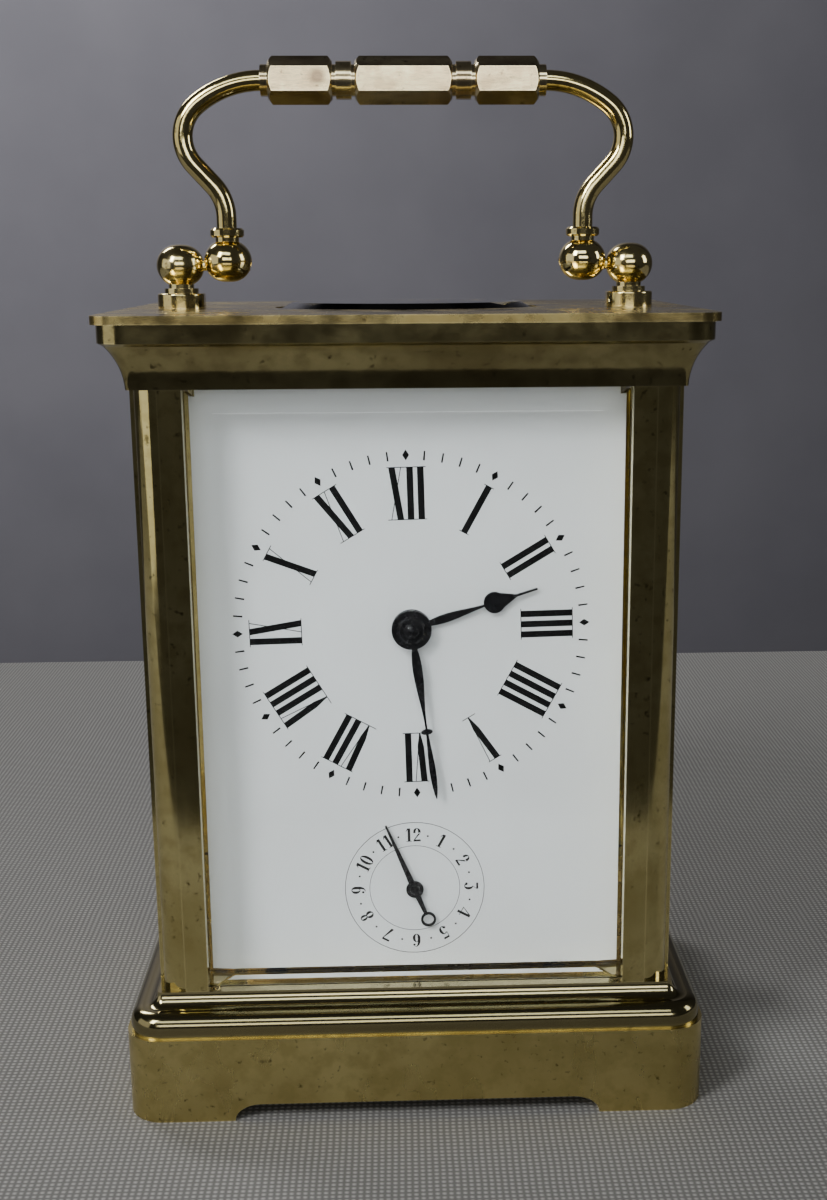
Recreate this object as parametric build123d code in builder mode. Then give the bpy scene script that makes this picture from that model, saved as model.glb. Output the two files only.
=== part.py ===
from build123d import *
import math
import os

os.makedirs("parts", exist_ok=True)

# Driving dimensions, in millimetres. X runs to the right, Y to the back and Z up,
# with the origin under the middle of the base, on the table.

# Case
base_width = 95.0
base_depth = 76.0
base_corner = 6.0
skirt_height = 14.5
base_wall = 3.4
foot_length = 17.6
side_foot_length = 15.0
arch_height = 2.9
arch_corner = 4.2
moulding_fillet = 1.5
moulding_step = 0.6
moulding_height = 6.1
moulding_inset = 5.1
cyma_radius = 2.3
seat_thickness = 2.0
pillar_height = 97.6
pillar_size = 8.4
column_radius = 4.1
column_step = 0.6
cornice_height = 9.7
cornice_overhang = 3.8
cornice_corner = 5.0
cornice_band = 3.2
cornice_step = 0.9
top_plate_overhang = 0.5
top_plate_thickness = 1.3
top_plate_corner = 3.5
top_oval_length = 44.0
top_oval_width = 31.0
oval_lip = 1.6
top_glass_thickness = 2.6
glass_thickness = 2.3
glass_edge = 1.0
glass_bevel = 3.5
glass_setback = 0.6
groove_depth = 1.5
fit_gap = 0.1
case_gap = 0.3
case_screw_radius = 1.5
case_screw_head = 2.6
case_screw_head_height = 1.3
case_screw_length = 9.0

# Door
door_thickness = 3.0
door_stile = 4.4
door_pin_radius = 0.7
door_pin_length = 1.6
door_clearance = 0.3
knob_radius = 2.1
knob_length = 4.4
knob_neck = 1.2

# Handle
handle_pivot_height = 6.9
post_inset = 9.2
ball_width = 7.9
ball_height = 6.8
ball_gap = 0.3
handle_ball_rise = 0.7
post_disc_radius = 4.0
post_disc_height = 2.4
post_neck_radius = 2.1
handle_pin_radius = 0.9
running_gap = 0.05
rod_radius = 1.65
collar_radius = 2.8
collar_height = 1.5
arm_rise = 7.8
lower_bend = 7.5
lower_turn = 43.0
arm_straight = 4.2
shoulder_bend = 6.5
shoulder_turn = 94.3
upper_bend = 16.9
grip_radius = 3.8
grip_sides = 6
grip_middle_half = 7.9
grip_bead_zone = 3.7
grip_end_collar = 1.2
grip_collar_radius = 2.5
grip_bead_radius = 3.0
grip_chamfer = 0.7

# Dial and hands
dial_setback = 7.9
dial_thickness = 1.2
centre_drop = 25.4
dial_side_gap = 1.0
alarm_drop = 44.5
dial_foot_radius = 0.9
hub_radius = 3.2
hour_hand_length = 21.1
hour_hand_angle = 72.6
hour_swell_distance = 6.2
hour_swell = 0.68
hour_neck_distance = 11.9
hour_pear_distance = 13.9
hour_pear_radius = 1.73
hour_pear_end = 17.6
minute_hand_length = 28.6
minute_hand_angle = 172.4
minute_swell_distance = 8.6
minute_swell = 0.72
minute_neck_distance = 15.0
minute_knop_distance = 17.1
minute_knop_width = 0.95
minute_knop_height = 0.45
minute_blade_distance = 20.8
minute_blade = 0.40
hand_root = 0.34
hand_neck = 0.19
alarm_hand_length = 12.2
alarm_hand_angle = 337.5
alarm_ring_distance = 5.8
alarm_ring_radius = 1.27
alarm_ring_hole = 0.87
alarm_hub_radius = 1.45
hand_stem = 0.55
hand_tip = 0.15
collet_radius = 2.25
collet_height = 0.6
hand_thickness = 0.35
hand_gap = 0.45

# Movement
dial_edge_gap = 0.7
motion_space = 5.2
plate_thickness = 1.9
plate_spacing = 25.5
plate_side_gap = 5.0
platform_headroom = 13.2
movement_pillar_radius = 3.0
pillar_inset = 5.0
plate_screw_radius = 1.2
plate_screw_length = 5.0
plate_screw_head = 2.0
plate_screw_head_height = 1.0
arbor_radius = 0.8
pivot_radius = 0.45
wheel_thickness = 1.0
pinion_overlap = 0.5
end_shake = 0.15
barrel_module = 0.40
centre_module = 0.30
third_module = 0.28
contrate_module = 0.25
barrel_direction = -52.3
third_direction = 154.3
contrate_direction = 65.8
barrel_front_gap = 1.5
barrel_height = 13.5
barrel_tooth_width = 2.0
barrel_wall = 0.9
barrel_core_radius = 2.6
barrel_pivot_radius = 1.6
spring_thickness = 0.6
spring_gap = 0.35
spring_turns = 6
square_size = 2.3
square_share = 0.365
ratchet_radius = 5.6
ratchet_depth = 0.9
ratchet_thickness = 1.2
ratchet_gap = 0.3
click_distance = 9.4
click_direction = 140.0
click_hub = 1.3
click_tip_direction = 106.0
click_stud_radius = 0.7
click_spring_thickness = 0.35
centre_wheel_setback = 7.1
third_wheel_setback = 9.7
contrate_setback = 15.2
crown_tooth_height = 1.5
crown_tooth_width = 0.24
crown_tooth_length = 0.8
hub_wall = 1.2

# Motion work
minute_direction = 45.0
cannon_setback = 0.4
cannon_pipe_radius = 1.3
hour_pipe_radius = 1.9
motion_wheel_thickness = 0.8
motion_gap = 0.7
hand_fit = 0.02

# Platform escapement
platform_half_width = 17.0
platform_thickness = 1.6
platform_screw_radius = 0.6
platform_screw_spread = 14.5
platform_hole_radius = 1.5
escape_x = -8.0
escape_radius = 3.6
escape_tooth_depth = 0.8
escape_thickness = 0.4
escape_arbor_radius = 0.45
escape_gap = 0.7
fine_pivot_radius = 0.25
fine_gap = 0.05
potence_drop = 6.0
potence_thickness = 1.0
potence_width = 3.0
potence_back_gap = 0.6
lever_distance = 4.7
lever_thickness = 0.7
lever_width = 0.6
pallet_reach = 0.8
pallet_angle = 35.0
pallet_size = 0.35
balance_distance = 5.6
balance_radius = 6.4
balance_rim = 1.0
balance_thickness = 1.0
balance_lift = 2.9
roller_radius = 1.0
escapement_gap = 0.5
hairspring_lift = 0.7
hairspring_height = 0.4
hairspring_thickness = 0.14
hairspring_core = 1.0
hairspring_reach = 4.8
hairspring_turns = 6
stud_radius = 0.35
escape_cock_lift = 1.8
cock_thickness = 0.8
cock_radius = 1.4
balance_cock_lift = 6.4
balance_cock_thickness = 1.2
balance_cock_radius = 2.2
cock_foot_radius = 2.6
cock_foot_distance = 10.9
regulator_thickness = 0.6
regulator_radius = 1.9
regulator_hole = 0.9
regulator_length = 8.0
regulator_width = 0.8
curb_radius = 0.15
curb_distance = 5.1

# Alarm
alarm_module = 0.36
alarm_barrel_x = -16.0
alarm_barrel_drop = 25.6
alarm_barrel_height = 9.0
alarm_core_radius = 2.0
alarm_square = 1.9
alarm_ratchet_radius = 4.4
scape_direction = -66.6
scape_radius = 5.6
scape_tooth_depth = 1.4
scape_setback = 9.8
hammer_x = -8.0
hammer_drop = 51.1
hammer_reach = 13.85
hammer_direction = -8.6
hammer_head_radius = 1.8
hammer_head_length = 2.4
hammer_arm_setback = 2.3
hammer_arm_width = 1.2
prong_reach = 8.8
prong_spread = 26.0
prong_lean = 6.0
prong_thickness = 1.8
bell_x = 16.5
bell_drop = 45.6
bell_radius = 11.0
bell_wall = 0.7
bell_depth_share = 0.365
bell_setback_share = 0.13
bell_post_radius = 1.4
bell_nut_radius = 2.0
alarm_knob_radius = 3.2
alarm_knob_length_share = 0.156
alarm_knob_setback_share = 0.328

# Tooth counts
barrel_teeth = 80
centre_pinion_leaves = 10
centre_teeth = 80
third_pinion_leaves = 8
third_teeth = 60
contrate_pinion_leaves = 8
contrate_teeth = 64
escape_pinion_leaves = 8
escape_teeth = 15
cannon_leaves = 12
minute_teeth = 36
minute_pinion_leaves = 10
hour_teeth = 40
idler_teeth = 90
alarm_teeth = 40
alarm_barrel_teeth = 60
scape_pinion_leaves = 10
scape_teeth = 20
ratchet_teeth = 24
alarm_ratchet_teeth = 20

# Tooth form, in modules and as shares of the pitch
wheel_addendum_share = 0.9
wheel_dedendum_share = 1.2
wheel_root_width_share = 0.52
wheel_tip_width_share = 0.18
leaf_addendum_share = 0.7
leaf_dedendum_share = 1.5
leaf_root_width_share = 0.42
leaf_tip_width_share = 0.20
saw_root_share = 0.95
saw_tip_share = 0.10
cut_overrun = 1.0

# Heights up the case
base_top = skirt_height + moulding_height
pillar_top = base_top + pillar_height
plate_under = pillar_top + cornice_height
plate_top = plate_under + top_plate_thickness
handle_height = plate_top + handle_pivot_height

# Half sizes of the case in plan
half_width = base_width / 2
half_depth = base_depth / 2
pillar_out_x = half_width - moulding_inset
pillar_out_y = half_depth - moulding_inset
pillar_in_x = pillar_out_x - pillar_size
pillar_in_y = pillar_out_y - pillar_size
cornice_half_width = pillar_out_x + cornice_overhang
cornice_half_depth = pillar_out_y + cornice_overhang
top_plate_half_width = cornice_half_width + top_plate_overhang
top_plate_half_depth = cornice_half_depth + top_plate_overhang
post_spread = top_plate_half_width - post_inset
handle_spread = post_spread - ball_width
dial_half_width = pillar_in_x - dial_side_gap
plate_half_width = pillar_in_x - plate_side_gap
plate_height = pillar_height - platform_headroom
dial_height = plate_height - centre_drop
quarter_turn = 90
half_turn = 2 * quarter_turn


def facing(y):
    """The upright plane at depth y; its sketches read as seen from the front."""
    return Plane.XZ.offset(-y)


def level(z):
    return Plane.XY.offset(z)


def rectangle_on(plane, width, height):
    with BuildSketch(plane) as face:
        Rectangle(width, height)
    return face.sketch


def disc(centre, back, thickness, radius, bore=0, mode=Mode.ADD):
    """A disc or washer in an upright plane, from its back face towards the front."""
    with BuildSketch(facing(back)) as face:
        with Locations(centre):
            Circle(radius)
            if bore:
                Circle(bore, mode=Mode.SUBTRACT)
    extrude(face.sketch, amount=thickness, mode=mode)


def drum(centre, bottom, height, radius, bore=0, mode=Mode.ADD):
    """A disc or washer lying flat, from its underside upwards."""
    with BuildSketch(level(bottom)) as face:
        with Locations(centre):
            Circle(radius)
            if bore:
                Circle(bore, mode=Mode.SUBTRACT)
    extrude(face.sketch, amount=height, mode=mode)


def polar(centre, radius, angle):
    """The point at an angle in degrees, anticlockwise from the right."""
    turn = math.radians(angle)
    return (centre[0] + radius * math.cos(turn), centre[1] + radius * math.sin(turn))


def mesh_phase(direction, phase, teeth, other_teeth):
    """The tooth angle of a wheel whose gaps meet the teeth of the wheel that it follows."""
    return direction + half_turn - (phase - direction) * teeth / other_teeth + half_turn / other_teeth


def toothed(centre, teeth, root, tip, root_share, tip_share, phase, plane, thickness, mode=Mode.ADD):
    """A wheel with straight-sided teeth; one tooth points along the phase angle."""
    pitch = 360 / teeth
    points = []
    for tooth in range(teeth):
        angle = phase + tooth * pitch
        points.append(polar(centre, root, angle - root_share * pitch / 2))
        points.append(polar(centre, tip, angle - tip_share * pitch / 2))
        points.append(polar(centre, tip, angle + tip_share * pitch / 2))
        points.append(polar(centre, root, angle + root_share * pitch / 2))
    with BuildSketch(plane) as face:
        with BuildLine():
            Polyline(*points, close=True)
        make_face()
    extrude(face.sketch, amount=thickness, mode=mode)


def wheel(centre, teeth, module, phase, back, thickness=wheel_thickness):
    pitch_radius = teeth * module / 2
    toothed(
        centre, teeth,
        pitch_radius - wheel_dedendum_share * module, pitch_radius + wheel_addendum_share * module,
        wheel_root_width_share, wheel_tip_width_share, phase, facing(back), thickness,
    )


def pinion(centre, leaves, module, phase, plane, thickness):
    pitch_radius = leaves * module / 2
    toothed(
        centre, leaves,
        pitch_radius - leaf_dedendum_share * module, pitch_radius + leaf_addendum_share * module,
        leaf_root_width_share, leaf_tip_width_share, phase, plane, thickness,
    )


def crossings(centre, plane, thickness, rim, hub, arms, spoke):
    """Cut the openings that leave straight arms between a wheel's hub and rim."""
    with BuildSketch(plane) as face:
        with Locations(centre):
            Circle(rim)
            Circle(hub, mode=Mode.SUBTRACT)
            with PolarLocations(0, arms, start_angle=quarter_turn):
                Rectangle(rim + spoke, spoke, align=(Align.MIN, Align.CENTER), mode=Mode.SUBTRACT)
    extrude(face.sketch, amount=thickness, mode=Mode.SUBTRACT)


def holes(centres, back, thickness, radius):
    """Holes through an upright plate."""
    for centre in centres:
        disc(centre, back, thickness, radius, mode=Mode.SUBTRACT)


def half_ring(width, depth, corner):
    """The right half of a rounded outline, from the middle of the front to the middle of the back."""
    Line((0, -depth), (width - corner, -depth))
    RadiusArc((width - corner, -depth), (width, corner - depth), -corner)
    Line((width, corner - depth), (width, depth - corner))
    RadiusArc((width, depth - corner), (width - corner, depth), -corner)
    Line((width - corner, depth), (0, depth))


# Base: a moulded ring on four bracket feet, open underneath
foot_inner = half_width - foot_length
side_foot_inner = half_depth - side_foot_length
moulding_inner = moulding_inset + (base_corner - moulding_inset) / 2
cavity_half_width = pillar_in_x
cavity_half_depth = pillar_in_y
groove_width = glass_edge + 2 * fit_gap
glass_front = pillar_out_y - glass_setback
glass_back = glass_front - glass_thickness
glass_side = pillar_out_x - glass_setback
pillar_centre_x = pillar_in_x + pillar_size / 2
pillar_centre_y = pillar_in_y + pillar_size / 2
pillar_centres = [
    (side_x * pillar_centre_x, side_y * pillar_centre_y) for side_x in (-1, 1) for side_y in (-1, 1)
]
with BuildPart() as base_rim:
    with BuildLine() as moulding_path:
        half_ring(half_width, half_depth, base_corner)
    with BuildSketch(Plane.YZ) as moulding_profile:
        with BuildLine():
            start = (moulding_step - half_depth, skirt_height)
            fillet_top = (moulding_step - half_depth, skirt_height + moulding_fillet)
            hollow_end = (moulding_inset / 2 - half_depth, (skirt_height + moulding_fillet + base_top) / 2)
            crown = (moulding_inset - half_depth, base_top)
            Line(start, fillet_top)
            RadiusArc(fillet_top, hollow_end, cyma_radius)
            RadiusArc(hollow_end, crown, -cyma_radius)
            Polyline(
                crown,
                (moulding_inner - half_depth, base_top),
                (moulding_inner - half_depth, skirt_height),
                start,
            )
        make_face()
    sweep(moulding_profile.sketch, path=moulding_path.line)
    mirror(about=Plane.YZ)
with BuildPart() as base_moulding:
    with BuildSketch():
        RectangleRounded(base_width, base_depth, base_corner)
    extrude(amount=skirt_height)
    with BuildSketch(level(skirt_height)):
        RectangleRounded(
            base_width - 2 * moulding_inner, base_depth - 2 * moulding_inner, base_corner - moulding_inner
        )
    extrude(amount=moulding_height)
    add(base_rim.part)
    with BuildSketch():
        Rectangle(2 * cavity_half_width, 2 * cavity_half_depth)
    extrude(amount=base_top, mode=Mode.SUBTRACT)
    with BuildSketch():
        RectangleRounded(
            base_width - 2 * base_wall, base_depth - 2 * base_wall, base_corner - base_wall
        )
    extrude(amount=skirt_height - seat_thickness, mode=Mode.SUBTRACT)
    for plane, inner, reach in (
        (Plane.XZ, foot_inner, half_depth), (Plane.YZ, side_foot_inner, half_width)
    ):
        with BuildSketch(plane):
            with BuildLine():
                EllipticalCenterArc(
                    (arch_corner - inner, 0), arch_corner, arch_height, start_angle=quarter_turn, arc_size=quarter_turn
                )
                Line((arch_corner - inner, arch_height), (inner - arch_corner, arch_height))
                EllipticalCenterArc(
                    (inner - arch_corner, 0), arch_corner, arch_height, start_angle=0, arc_size=quarter_turn
                )
                Line((inner, 0), (-inner, 0))
            make_face()
        extrude(amount=reach + cut_overrun, both=True, mode=Mode.SUBTRACT)
    with BuildSketch(level(base_top - groove_depth)):
        with Locations((0, -glass_back - glass_edge / 2)):
            Rectangle(2 * (pillar_in_x + groove_depth), groove_width)
        with Locations(*[(side * (glass_side - glass_thickness + glass_edge / 2), 0) for side in (-1, 1)]):
            Rectangle(groove_width, 2 * (pillar_in_y + groove_depth))
    extrude(amount=groove_depth, mode=Mode.SUBTRACT)
    with BuildSketch():
        with Locations(*pillar_centres):
            Circle(case_screw_radius + fit_gap)
    extrude(amount=base_top, mode=Mode.SUBTRACT)


def finish(sub_part, name):
    """Name a finished piece and write it to its own file."""
    sub_part.part.label = name
    export_step(sub_part.part, f"parts/{name}.step")


finish(base_moulding, "base_moulding")

# Seat plate inside the base, which carries the movement and takes the case screws
seat_top = base_top
plate_front_y = dial_setback - pillar_out_y + dial_thickness + motion_space
dial_face_y = dial_setback - pillar_out_y
dial_back_y = dial_face_y + dial_thickness
plate_inner_front = plate_front_y + plate_thickness
plate_inner_back = plate_inner_front + plate_spacing
plate_back_y = plate_inner_back + plate_thickness
movement_middle_y = (plate_inner_front + plate_inner_back) / 2
back_space = pillar_out_y - door_thickness - plate_back_y
square_length = square_share * back_space
bell_depth = bell_depth_share * back_space
bell_setback = bell_setback_share * back_space
alarm_knob_length = alarm_knob_length_share * back_space
alarm_knob_setback = alarm_knob_setback_share * back_space
lower_pillar_z = seat_top + movement_pillar_radius + case_gap
seat_screw_y = plate_spacing / 4
seat_screws = [
    (side_x * (plate_half_width - pillar_inset), movement_middle_y + side_y * seat_screw_y)
    for side_x in (-1, 1) for side_y in (-1, 1)
]
with BuildPart() as base_plate:
    with BuildSketch(level(skirt_height - seat_thickness)):
        Rectangle(2 * (cavity_half_width - case_gap), 2 * (cavity_half_depth - case_gap))
    extrude(amount=seat_top - skirt_height + seat_thickness)
    with BuildSketch(level(skirt_height - 2 * seat_thickness)):
        Rectangle(2 * pillar_out_x, 2 * pillar_out_y)
    extrude(amount=seat_thickness)
    with BuildSketch(level(skirt_height - 2 * seat_thickness)):
        Rectangle(2 * (cavity_half_width - base_wall), 2 * (cavity_half_depth - base_wall))
    extrude(amount=seat_top - skirt_height, mode=Mode.SUBTRACT)
    with BuildSketch(level(skirt_height - 2 * seat_thickness)):
        with Locations(*seat_screws):
            Circle(plate_screw_radius + fit_gap)
        with Locations(*pillar_centres):
            Circle(case_screw_radius + fit_gap)
    extrude(amount=seat_top, mode=Mode.SUBTRACT)
finish(base_plate, "base_plate")

# Corner pillars: a square post whose outer corner is a quarter column between two steps
seat_clear = fit_gap / 2


def pillar(side_x, side_y, glazed_y):
    """One corner pillar with its glass grooves and the tapped holes in both ends."""
    out_x, out_y = side_x * pillar_out_x, side_y * pillar_out_y
    in_x, in_y = side_x * pillar_in_x, side_y * pillar_in_y
    column_x = side_x * (pillar_out_x - column_step - column_radius)
    column_y = side_y * (pillar_out_y - column_step - column_radius)
    inner_x = side_x * (pillar_out_x - column_step)
    inner_y = side_y * (pillar_out_y - column_step)
    with BuildPart() as post:
        with BuildSketch(level(base_top)):
            with BuildLine():
                Polyline(
                    (column_x, inner_y), (column_x, out_y), (in_x, out_y), (in_x, in_y),
                    (out_x, in_y), (out_x, column_y), (inner_x, column_y),
                )
                RadiusArc((inner_x, column_y), (column_x, inner_y), -side_x * side_y * column_radius)
            make_face()
            with Locations((side_x * (glass_side - glass_thickness + glass_edge / 2), in_y)):
                Rectangle(groove_width, 2 * groove_depth, mode=Mode.SUBTRACT)
            if glazed_y:
                with Locations((in_x, side_y * (glass_back + glass_edge / 2))):
                    Rectangle(2 * groove_depth, groove_width, mode=Mode.SUBTRACT)
        extrude(amount=pillar_height)
        for end, depth in ((base_top, case_screw_length), (pillar_top - case_screw_length, case_screw_length)):
            drum((side_x * pillar_centre_x, side_y * pillar_centre_y), end, depth,
                 case_screw_radius + seat_clear, mode=Mode.SUBTRACT)
    return post


for name, side_x, side_y in (
    ("pillar_front_left", -1, -1), ("pillar_front_right", 1, -1),
    ("pillar_rear_left", -1, 1), ("pillar_rear_right", 1, 1),
):
    finish(pillar(side_x, side_y, side_y < 0), name)

# Cornice: a hollow moulded frame with a cove under a plain band
cornice_top_inset = cornice_half_width - pillar_out_x
cove_inner = cornice_top_inset + (cornice_corner - cornice_top_inset) / 2
cornice_open_x = pillar_in_x
cornice_open_y = pillar_in_y
band_bottom = plate_under - cornice_band
with BuildPart() as cornice_rim:
    with BuildLine() as cornice_path:
        half_ring(cornice_half_width, cornice_half_depth, cornice_corner)
    with BuildSketch(Plane.YZ) as cornice_profile:
        with BuildLine():
            cove_top = (cornice_step - cornice_half_depth, band_bottom)
            cove_foot = (cornice_top_inset - cornice_half_depth, pillar_top)
            Polyline(
                cove_foot,
                (cove_inner - cornice_half_depth, pillar_top),
                (cove_inner - cornice_half_depth, plate_under),
                (-cornice_half_depth, plate_under),
                (-cornice_half_depth, band_bottom + cornice_step / 2),
                cove_top,
            )
            RadiusArc(cove_top, cove_foot, cornice_height)
        make_face()
    sweep(cornice_profile.sketch, path=cornice_path.line)
    mirror(about=Plane.YZ)
with BuildPart() as cornice:
    with BuildSketch(level(pillar_top)):
        RectangleRounded(
            2 * (cornice_half_width - cove_inner), 2 * (cornice_half_depth - cove_inner),
            cornice_corner - cove_inner,
        )
    extrude(amount=cornice_height)
    add(cornice_rim.part)
    with BuildSketch(level(pillar_top)):
        Rectangle(2 * cornice_open_x, 2 * cornice_open_y)
    extrude(amount=cornice_height, mode=Mode.SUBTRACT)
    with BuildSketch(level(pillar_top + seat_thickness)):
        RectangleRounded(
            2 * (cornice_half_width - cove_inner), 2 * (cornice_half_depth - cove_inner),
            cornice_corner - cove_inner,
        )
    extrude(amount=cornice_height, mode=Mode.SUBTRACT)
    with BuildSketch(level(pillar_top)):
        with Locations((0, -glass_back - glass_edge / 2)):
            Rectangle(2 * (pillar_in_x + groove_depth), groove_width)
        with Locations(*[(side * (glass_side - glass_thickness + glass_edge / 2), 0) for side in (-1, 1)]):
            Rectangle(groove_width, 2 * (pillar_in_y + groove_depth))
    extrude(amount=groove_depth, mode=Mode.SUBTRACT)
    with BuildSketch(level(pillar_top)):
        with Locations(*pillar_centres):
            Circle(case_screw_radius + fit_gap)
    extrude(amount=cornice_height, mode=Mode.SUBTRACT)
finish(cornice, "cornice")

# Case screws: four up through the base and four down through the cornice, into the pillars
with BuildPart() as case_screws:
    for x, y in pillar_centres:
        bottom = skirt_height - 2 * seat_thickness - case_screw_head_height
        drum((x, y), bottom, case_screw_head_height, case_screw_head)
        drum((x, y), bottom, base_top - bottom + case_screw_length - case_gap, case_screw_radius)
        drum((x, y), pillar_top + seat_thickness, case_screw_head_height, case_screw_head)
        drum((x, y), pillar_top - case_screw_length + case_gap, case_screw_length + seat_thickness,
             case_screw_radius)
finish(case_screws, "case_screws")

# Top plate with its oval opening, the lip that holds the oval glass, and the holes for the two handle posts
post_centres = [(-post_spread, 0), (post_spread, 0)]
with BuildPart() as top_plate:
    with BuildSketch(level(plate_under)):
        RectangleRounded(2 * top_plate_half_width, 2 * top_plate_half_depth, top_plate_corner)
        Ellipse(top_oval_length / 2, top_oval_width / 2, mode=Mode.SUBTRACT)
    extrude(amount=top_plate_thickness)
    with BuildSketch(level(plate_under)):
        Ellipse(top_oval_length / 2 + oval_lip, top_oval_width / 2 + oval_lip)
    extrude(amount=top_plate_thickness / 2, mode=Mode.SUBTRACT)
    with BuildSketch(level(plate_under)):
        with Locations(*post_centres):
            Circle(case_screw_radius + fit_gap)
    extrude(amount=top_plate_thickness, mode=Mode.SUBTRACT)
finish(top_plate, "top_plate")

# Oval top glass, bevelled all round, seated against the lip from below
oval_gap = case_gap
with BuildPart() as top_glass:
    with BuildSketch(level(plate_under + top_plate_thickness / 2 - fit_gap - glass_edge)):
        Ellipse(top_oval_length / 2 + oval_lip - oval_gap, top_oval_width / 2 + oval_lip - oval_gap)
    extrude(amount=glass_edge)
    with BuildSketch(level(plate_under + top_plate_thickness / 2 - fit_gap - glass_edge)):
        Ellipse(top_oval_length / 2 - oval_gap, top_oval_width / 2 - oval_gap)
    extrude(amount=top_glass_thickness)
    chamfer(top_glass.faces().sort_by(Axis.Z)[-1].edges(), top_glass_thickness - glass_edge - 2 * fit_gap,
            top_glass_thickness)
finish(top_glass, "top_glass")


def pane(plane, width, height, margin, bevel, thickness):
    """A bevelled pane on its flat inner face; the margin is the thin edge held in the grooves."""
    extrude(rectangle_on(plane, width, height), amount=glass_edge)
    with BuildSketch(plane.offset(glass_edge)) as foot:
        Rectangle(width - 2 * margin, height - 2 * margin)
    with BuildSketch(plane.offset(thickness)) as head:
        Rectangle(width - 2 * (margin + bevel), height - 2 * (margin + bevel))
    loft([foot.sketch.face(), head.sketch.face()], ruled=True)


# Front and side panes, let into grooves in the pillars, the base and the cornice
pane_middle_z = (base_top + pillar_top) / 2
pane_height = pillar_height + 2 * (groove_depth - fit_gap)
front_pane_width = 2 * (pillar_in_x + groove_depth - fit_gap)
side_pane_width = 2 * (pillar_in_y + groove_depth - fit_gap)
with BuildPart() as front_glass:
    pane(Plane(origin=(0, -glass_back, pane_middle_z), x_dir=(1, 0, 0), z_dir=(0, -1, 0)),
         front_pane_width, pane_height, groove_depth, glass_bevel, glass_thickness)
finish(front_glass, "front_glass")
with BuildPart() as side_glasses:
    for side in (-1, 1):
        pane(Plane(origin=(side * (glass_side - glass_thickness), 0, pane_middle_z),
                   x_dir=(0, side, 0), z_dir=(side, 0, 0)),
             side_pane_width, pane_height, groove_depth, glass_bevel, glass_thickness)
finish(side_glasses, "side_glasses")

# Rear door: a brass frame that swings on pins in the base and the cornice
door_y = pillar_out_y - door_thickness / 2
door_hinge_x = pillar_in_x - door_clearance - door_thickness / 2
door_left_x = door_clearance - pillar_in_x
door_bottom = base_top + door_clearance
door_top = pillar_top - door_clearance
door_open_left = door_left_x + door_stile
door_open_right = door_hinge_x + door_thickness / 2 - door_stile
door_middle_x = (door_open_left + door_open_right) / 2
door_middle_z = (door_bottom + door_top) / 2
door_open_width = door_open_right - door_open_left
door_open_height = door_top - door_bottom - 2 * door_stile
knob_z = door_middle_z
knob_x = door_left_x + door_stile / 2
with BuildPart() as door_frame:
    with BuildSketch(level(door_bottom)):
        with Locations(((door_left_x + door_hinge_x) / 2, door_y)):
            Rectangle(door_hinge_x - door_left_x, door_thickness)
        with Locations((door_hinge_x, door_y)):
            Circle(door_thickness / 2)
    extrude(amount=door_top - door_bottom)
    with BuildSketch(facing(door_y + door_thickness)):
        with Locations((door_middle_x, door_middle_z)):
            Rectangle(door_open_width, door_open_height)
    extrude(amount=2 * door_thickness, mode=Mode.SUBTRACT)
    with BuildSketch(facing(door_y + door_thickness / 2 - glass_edge)):
        with Locations((door_middle_x, door_middle_z)):
            Rectangle(door_open_width + door_stile / 2, door_open_height + door_stile / 2)
    extrude(amount=door_thickness, mode=Mode.SUBTRACT)
    drum((door_hinge_x, door_y), door_bottom - door_clearance - door_pin_length,
         door_top - door_bottom + 2 * (door_clearance + door_pin_length), door_pin_radius)
    disc((knob_x, knob_z), door_y + door_thickness, 2 * door_thickness, knob_neck / 2 + running_gap,
         mode=Mode.SUBTRACT)
finish(door_frame, "door_frame")

with BuildPart() as door_glass:
    pane(Plane(origin=(door_middle_x, door_y + door_thickness / 2 - 2 * glass_edge - fit_gap, door_middle_z),
               x_dir=(-1, 0, 0), z_dir=(0, 1, 0)),
         door_open_width + door_stile / 2 - 2 * fit_gap, door_open_height + door_stile / 2 - 2 * fit_gap,
         door_stile / 4, glass_bevel, glass_thickness)
finish(door_glass, "door_glass")

# Door knob: a small turned pull, riveted through the door stile
knob_face = door_y + door_thickness / 2 + fit_gap
with BuildPart() as door_knob:
    disc((knob_x, knob_z), knob_face + knob_length, knob_length / 2, knob_radius)
    fillet(door_knob.edges(), knob_length / 5)
    disc((knob_x, knob_z), knob_face + knob_length / 5, knob_length / 5, knob_radius)
    disc((knob_x, knob_z), knob_face + knob_length / 2 + case_gap,
         knob_length / 2 + case_gap + door_thickness, knob_neck / 2)
finish(door_knob, "door_knob")
for holder in (base_moulding, cornice):
    with holder:
        drum((door_hinge_x, door_y), base_top - 2 * door_pin_length, pillar_height + 4 * door_pin_length,
             door_pin_radius + running_gap, mode=Mode.SUBTRACT)
finish(base_moulding, "base_moulding")
finish(cornice, "cornice")

# Handle posts: a turned foot, waist and ball, screwed to the top plate
post_ring = post_neck_radius + post_neck_radius / 3
ball_edge = (post_spread + handle_spread) / 2


def ball(centre_x, centre_z):
    """A slightly flattened ball, turned about its upright axis."""
    top, bottom = centre_z + ball_height / 2, centre_z - ball_height / 2
    crown = centre_x + (ball_width - ball_height) / 2
    with BuildSketch(Plane.XZ) as half:
        with BuildLine():
            ThreePointArc((crown, top), (centre_x + ball_width / 2, centre_z), (crown, bottom))
            Polyline((crown, bottom), (centre_x, bottom), (centre_x, top), (crown, top))
        make_face()
    revolve(half.sketch, axis=Axis((centre_x, 0, 0), (0, 0, 1)))


def face_off(near, far):
    """Cut a ball flat where it faces its neighbour across the pivot."""
    with BuildSketch(Plane.YZ.offset(near)) as flat:
        with Locations((0, handle_height)):
            Rectangle(2 * ball_width, 2 * ball_width)
    extrude(flat.sketch, amount=far - near, mode=Mode.SUBTRACT)


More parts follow.
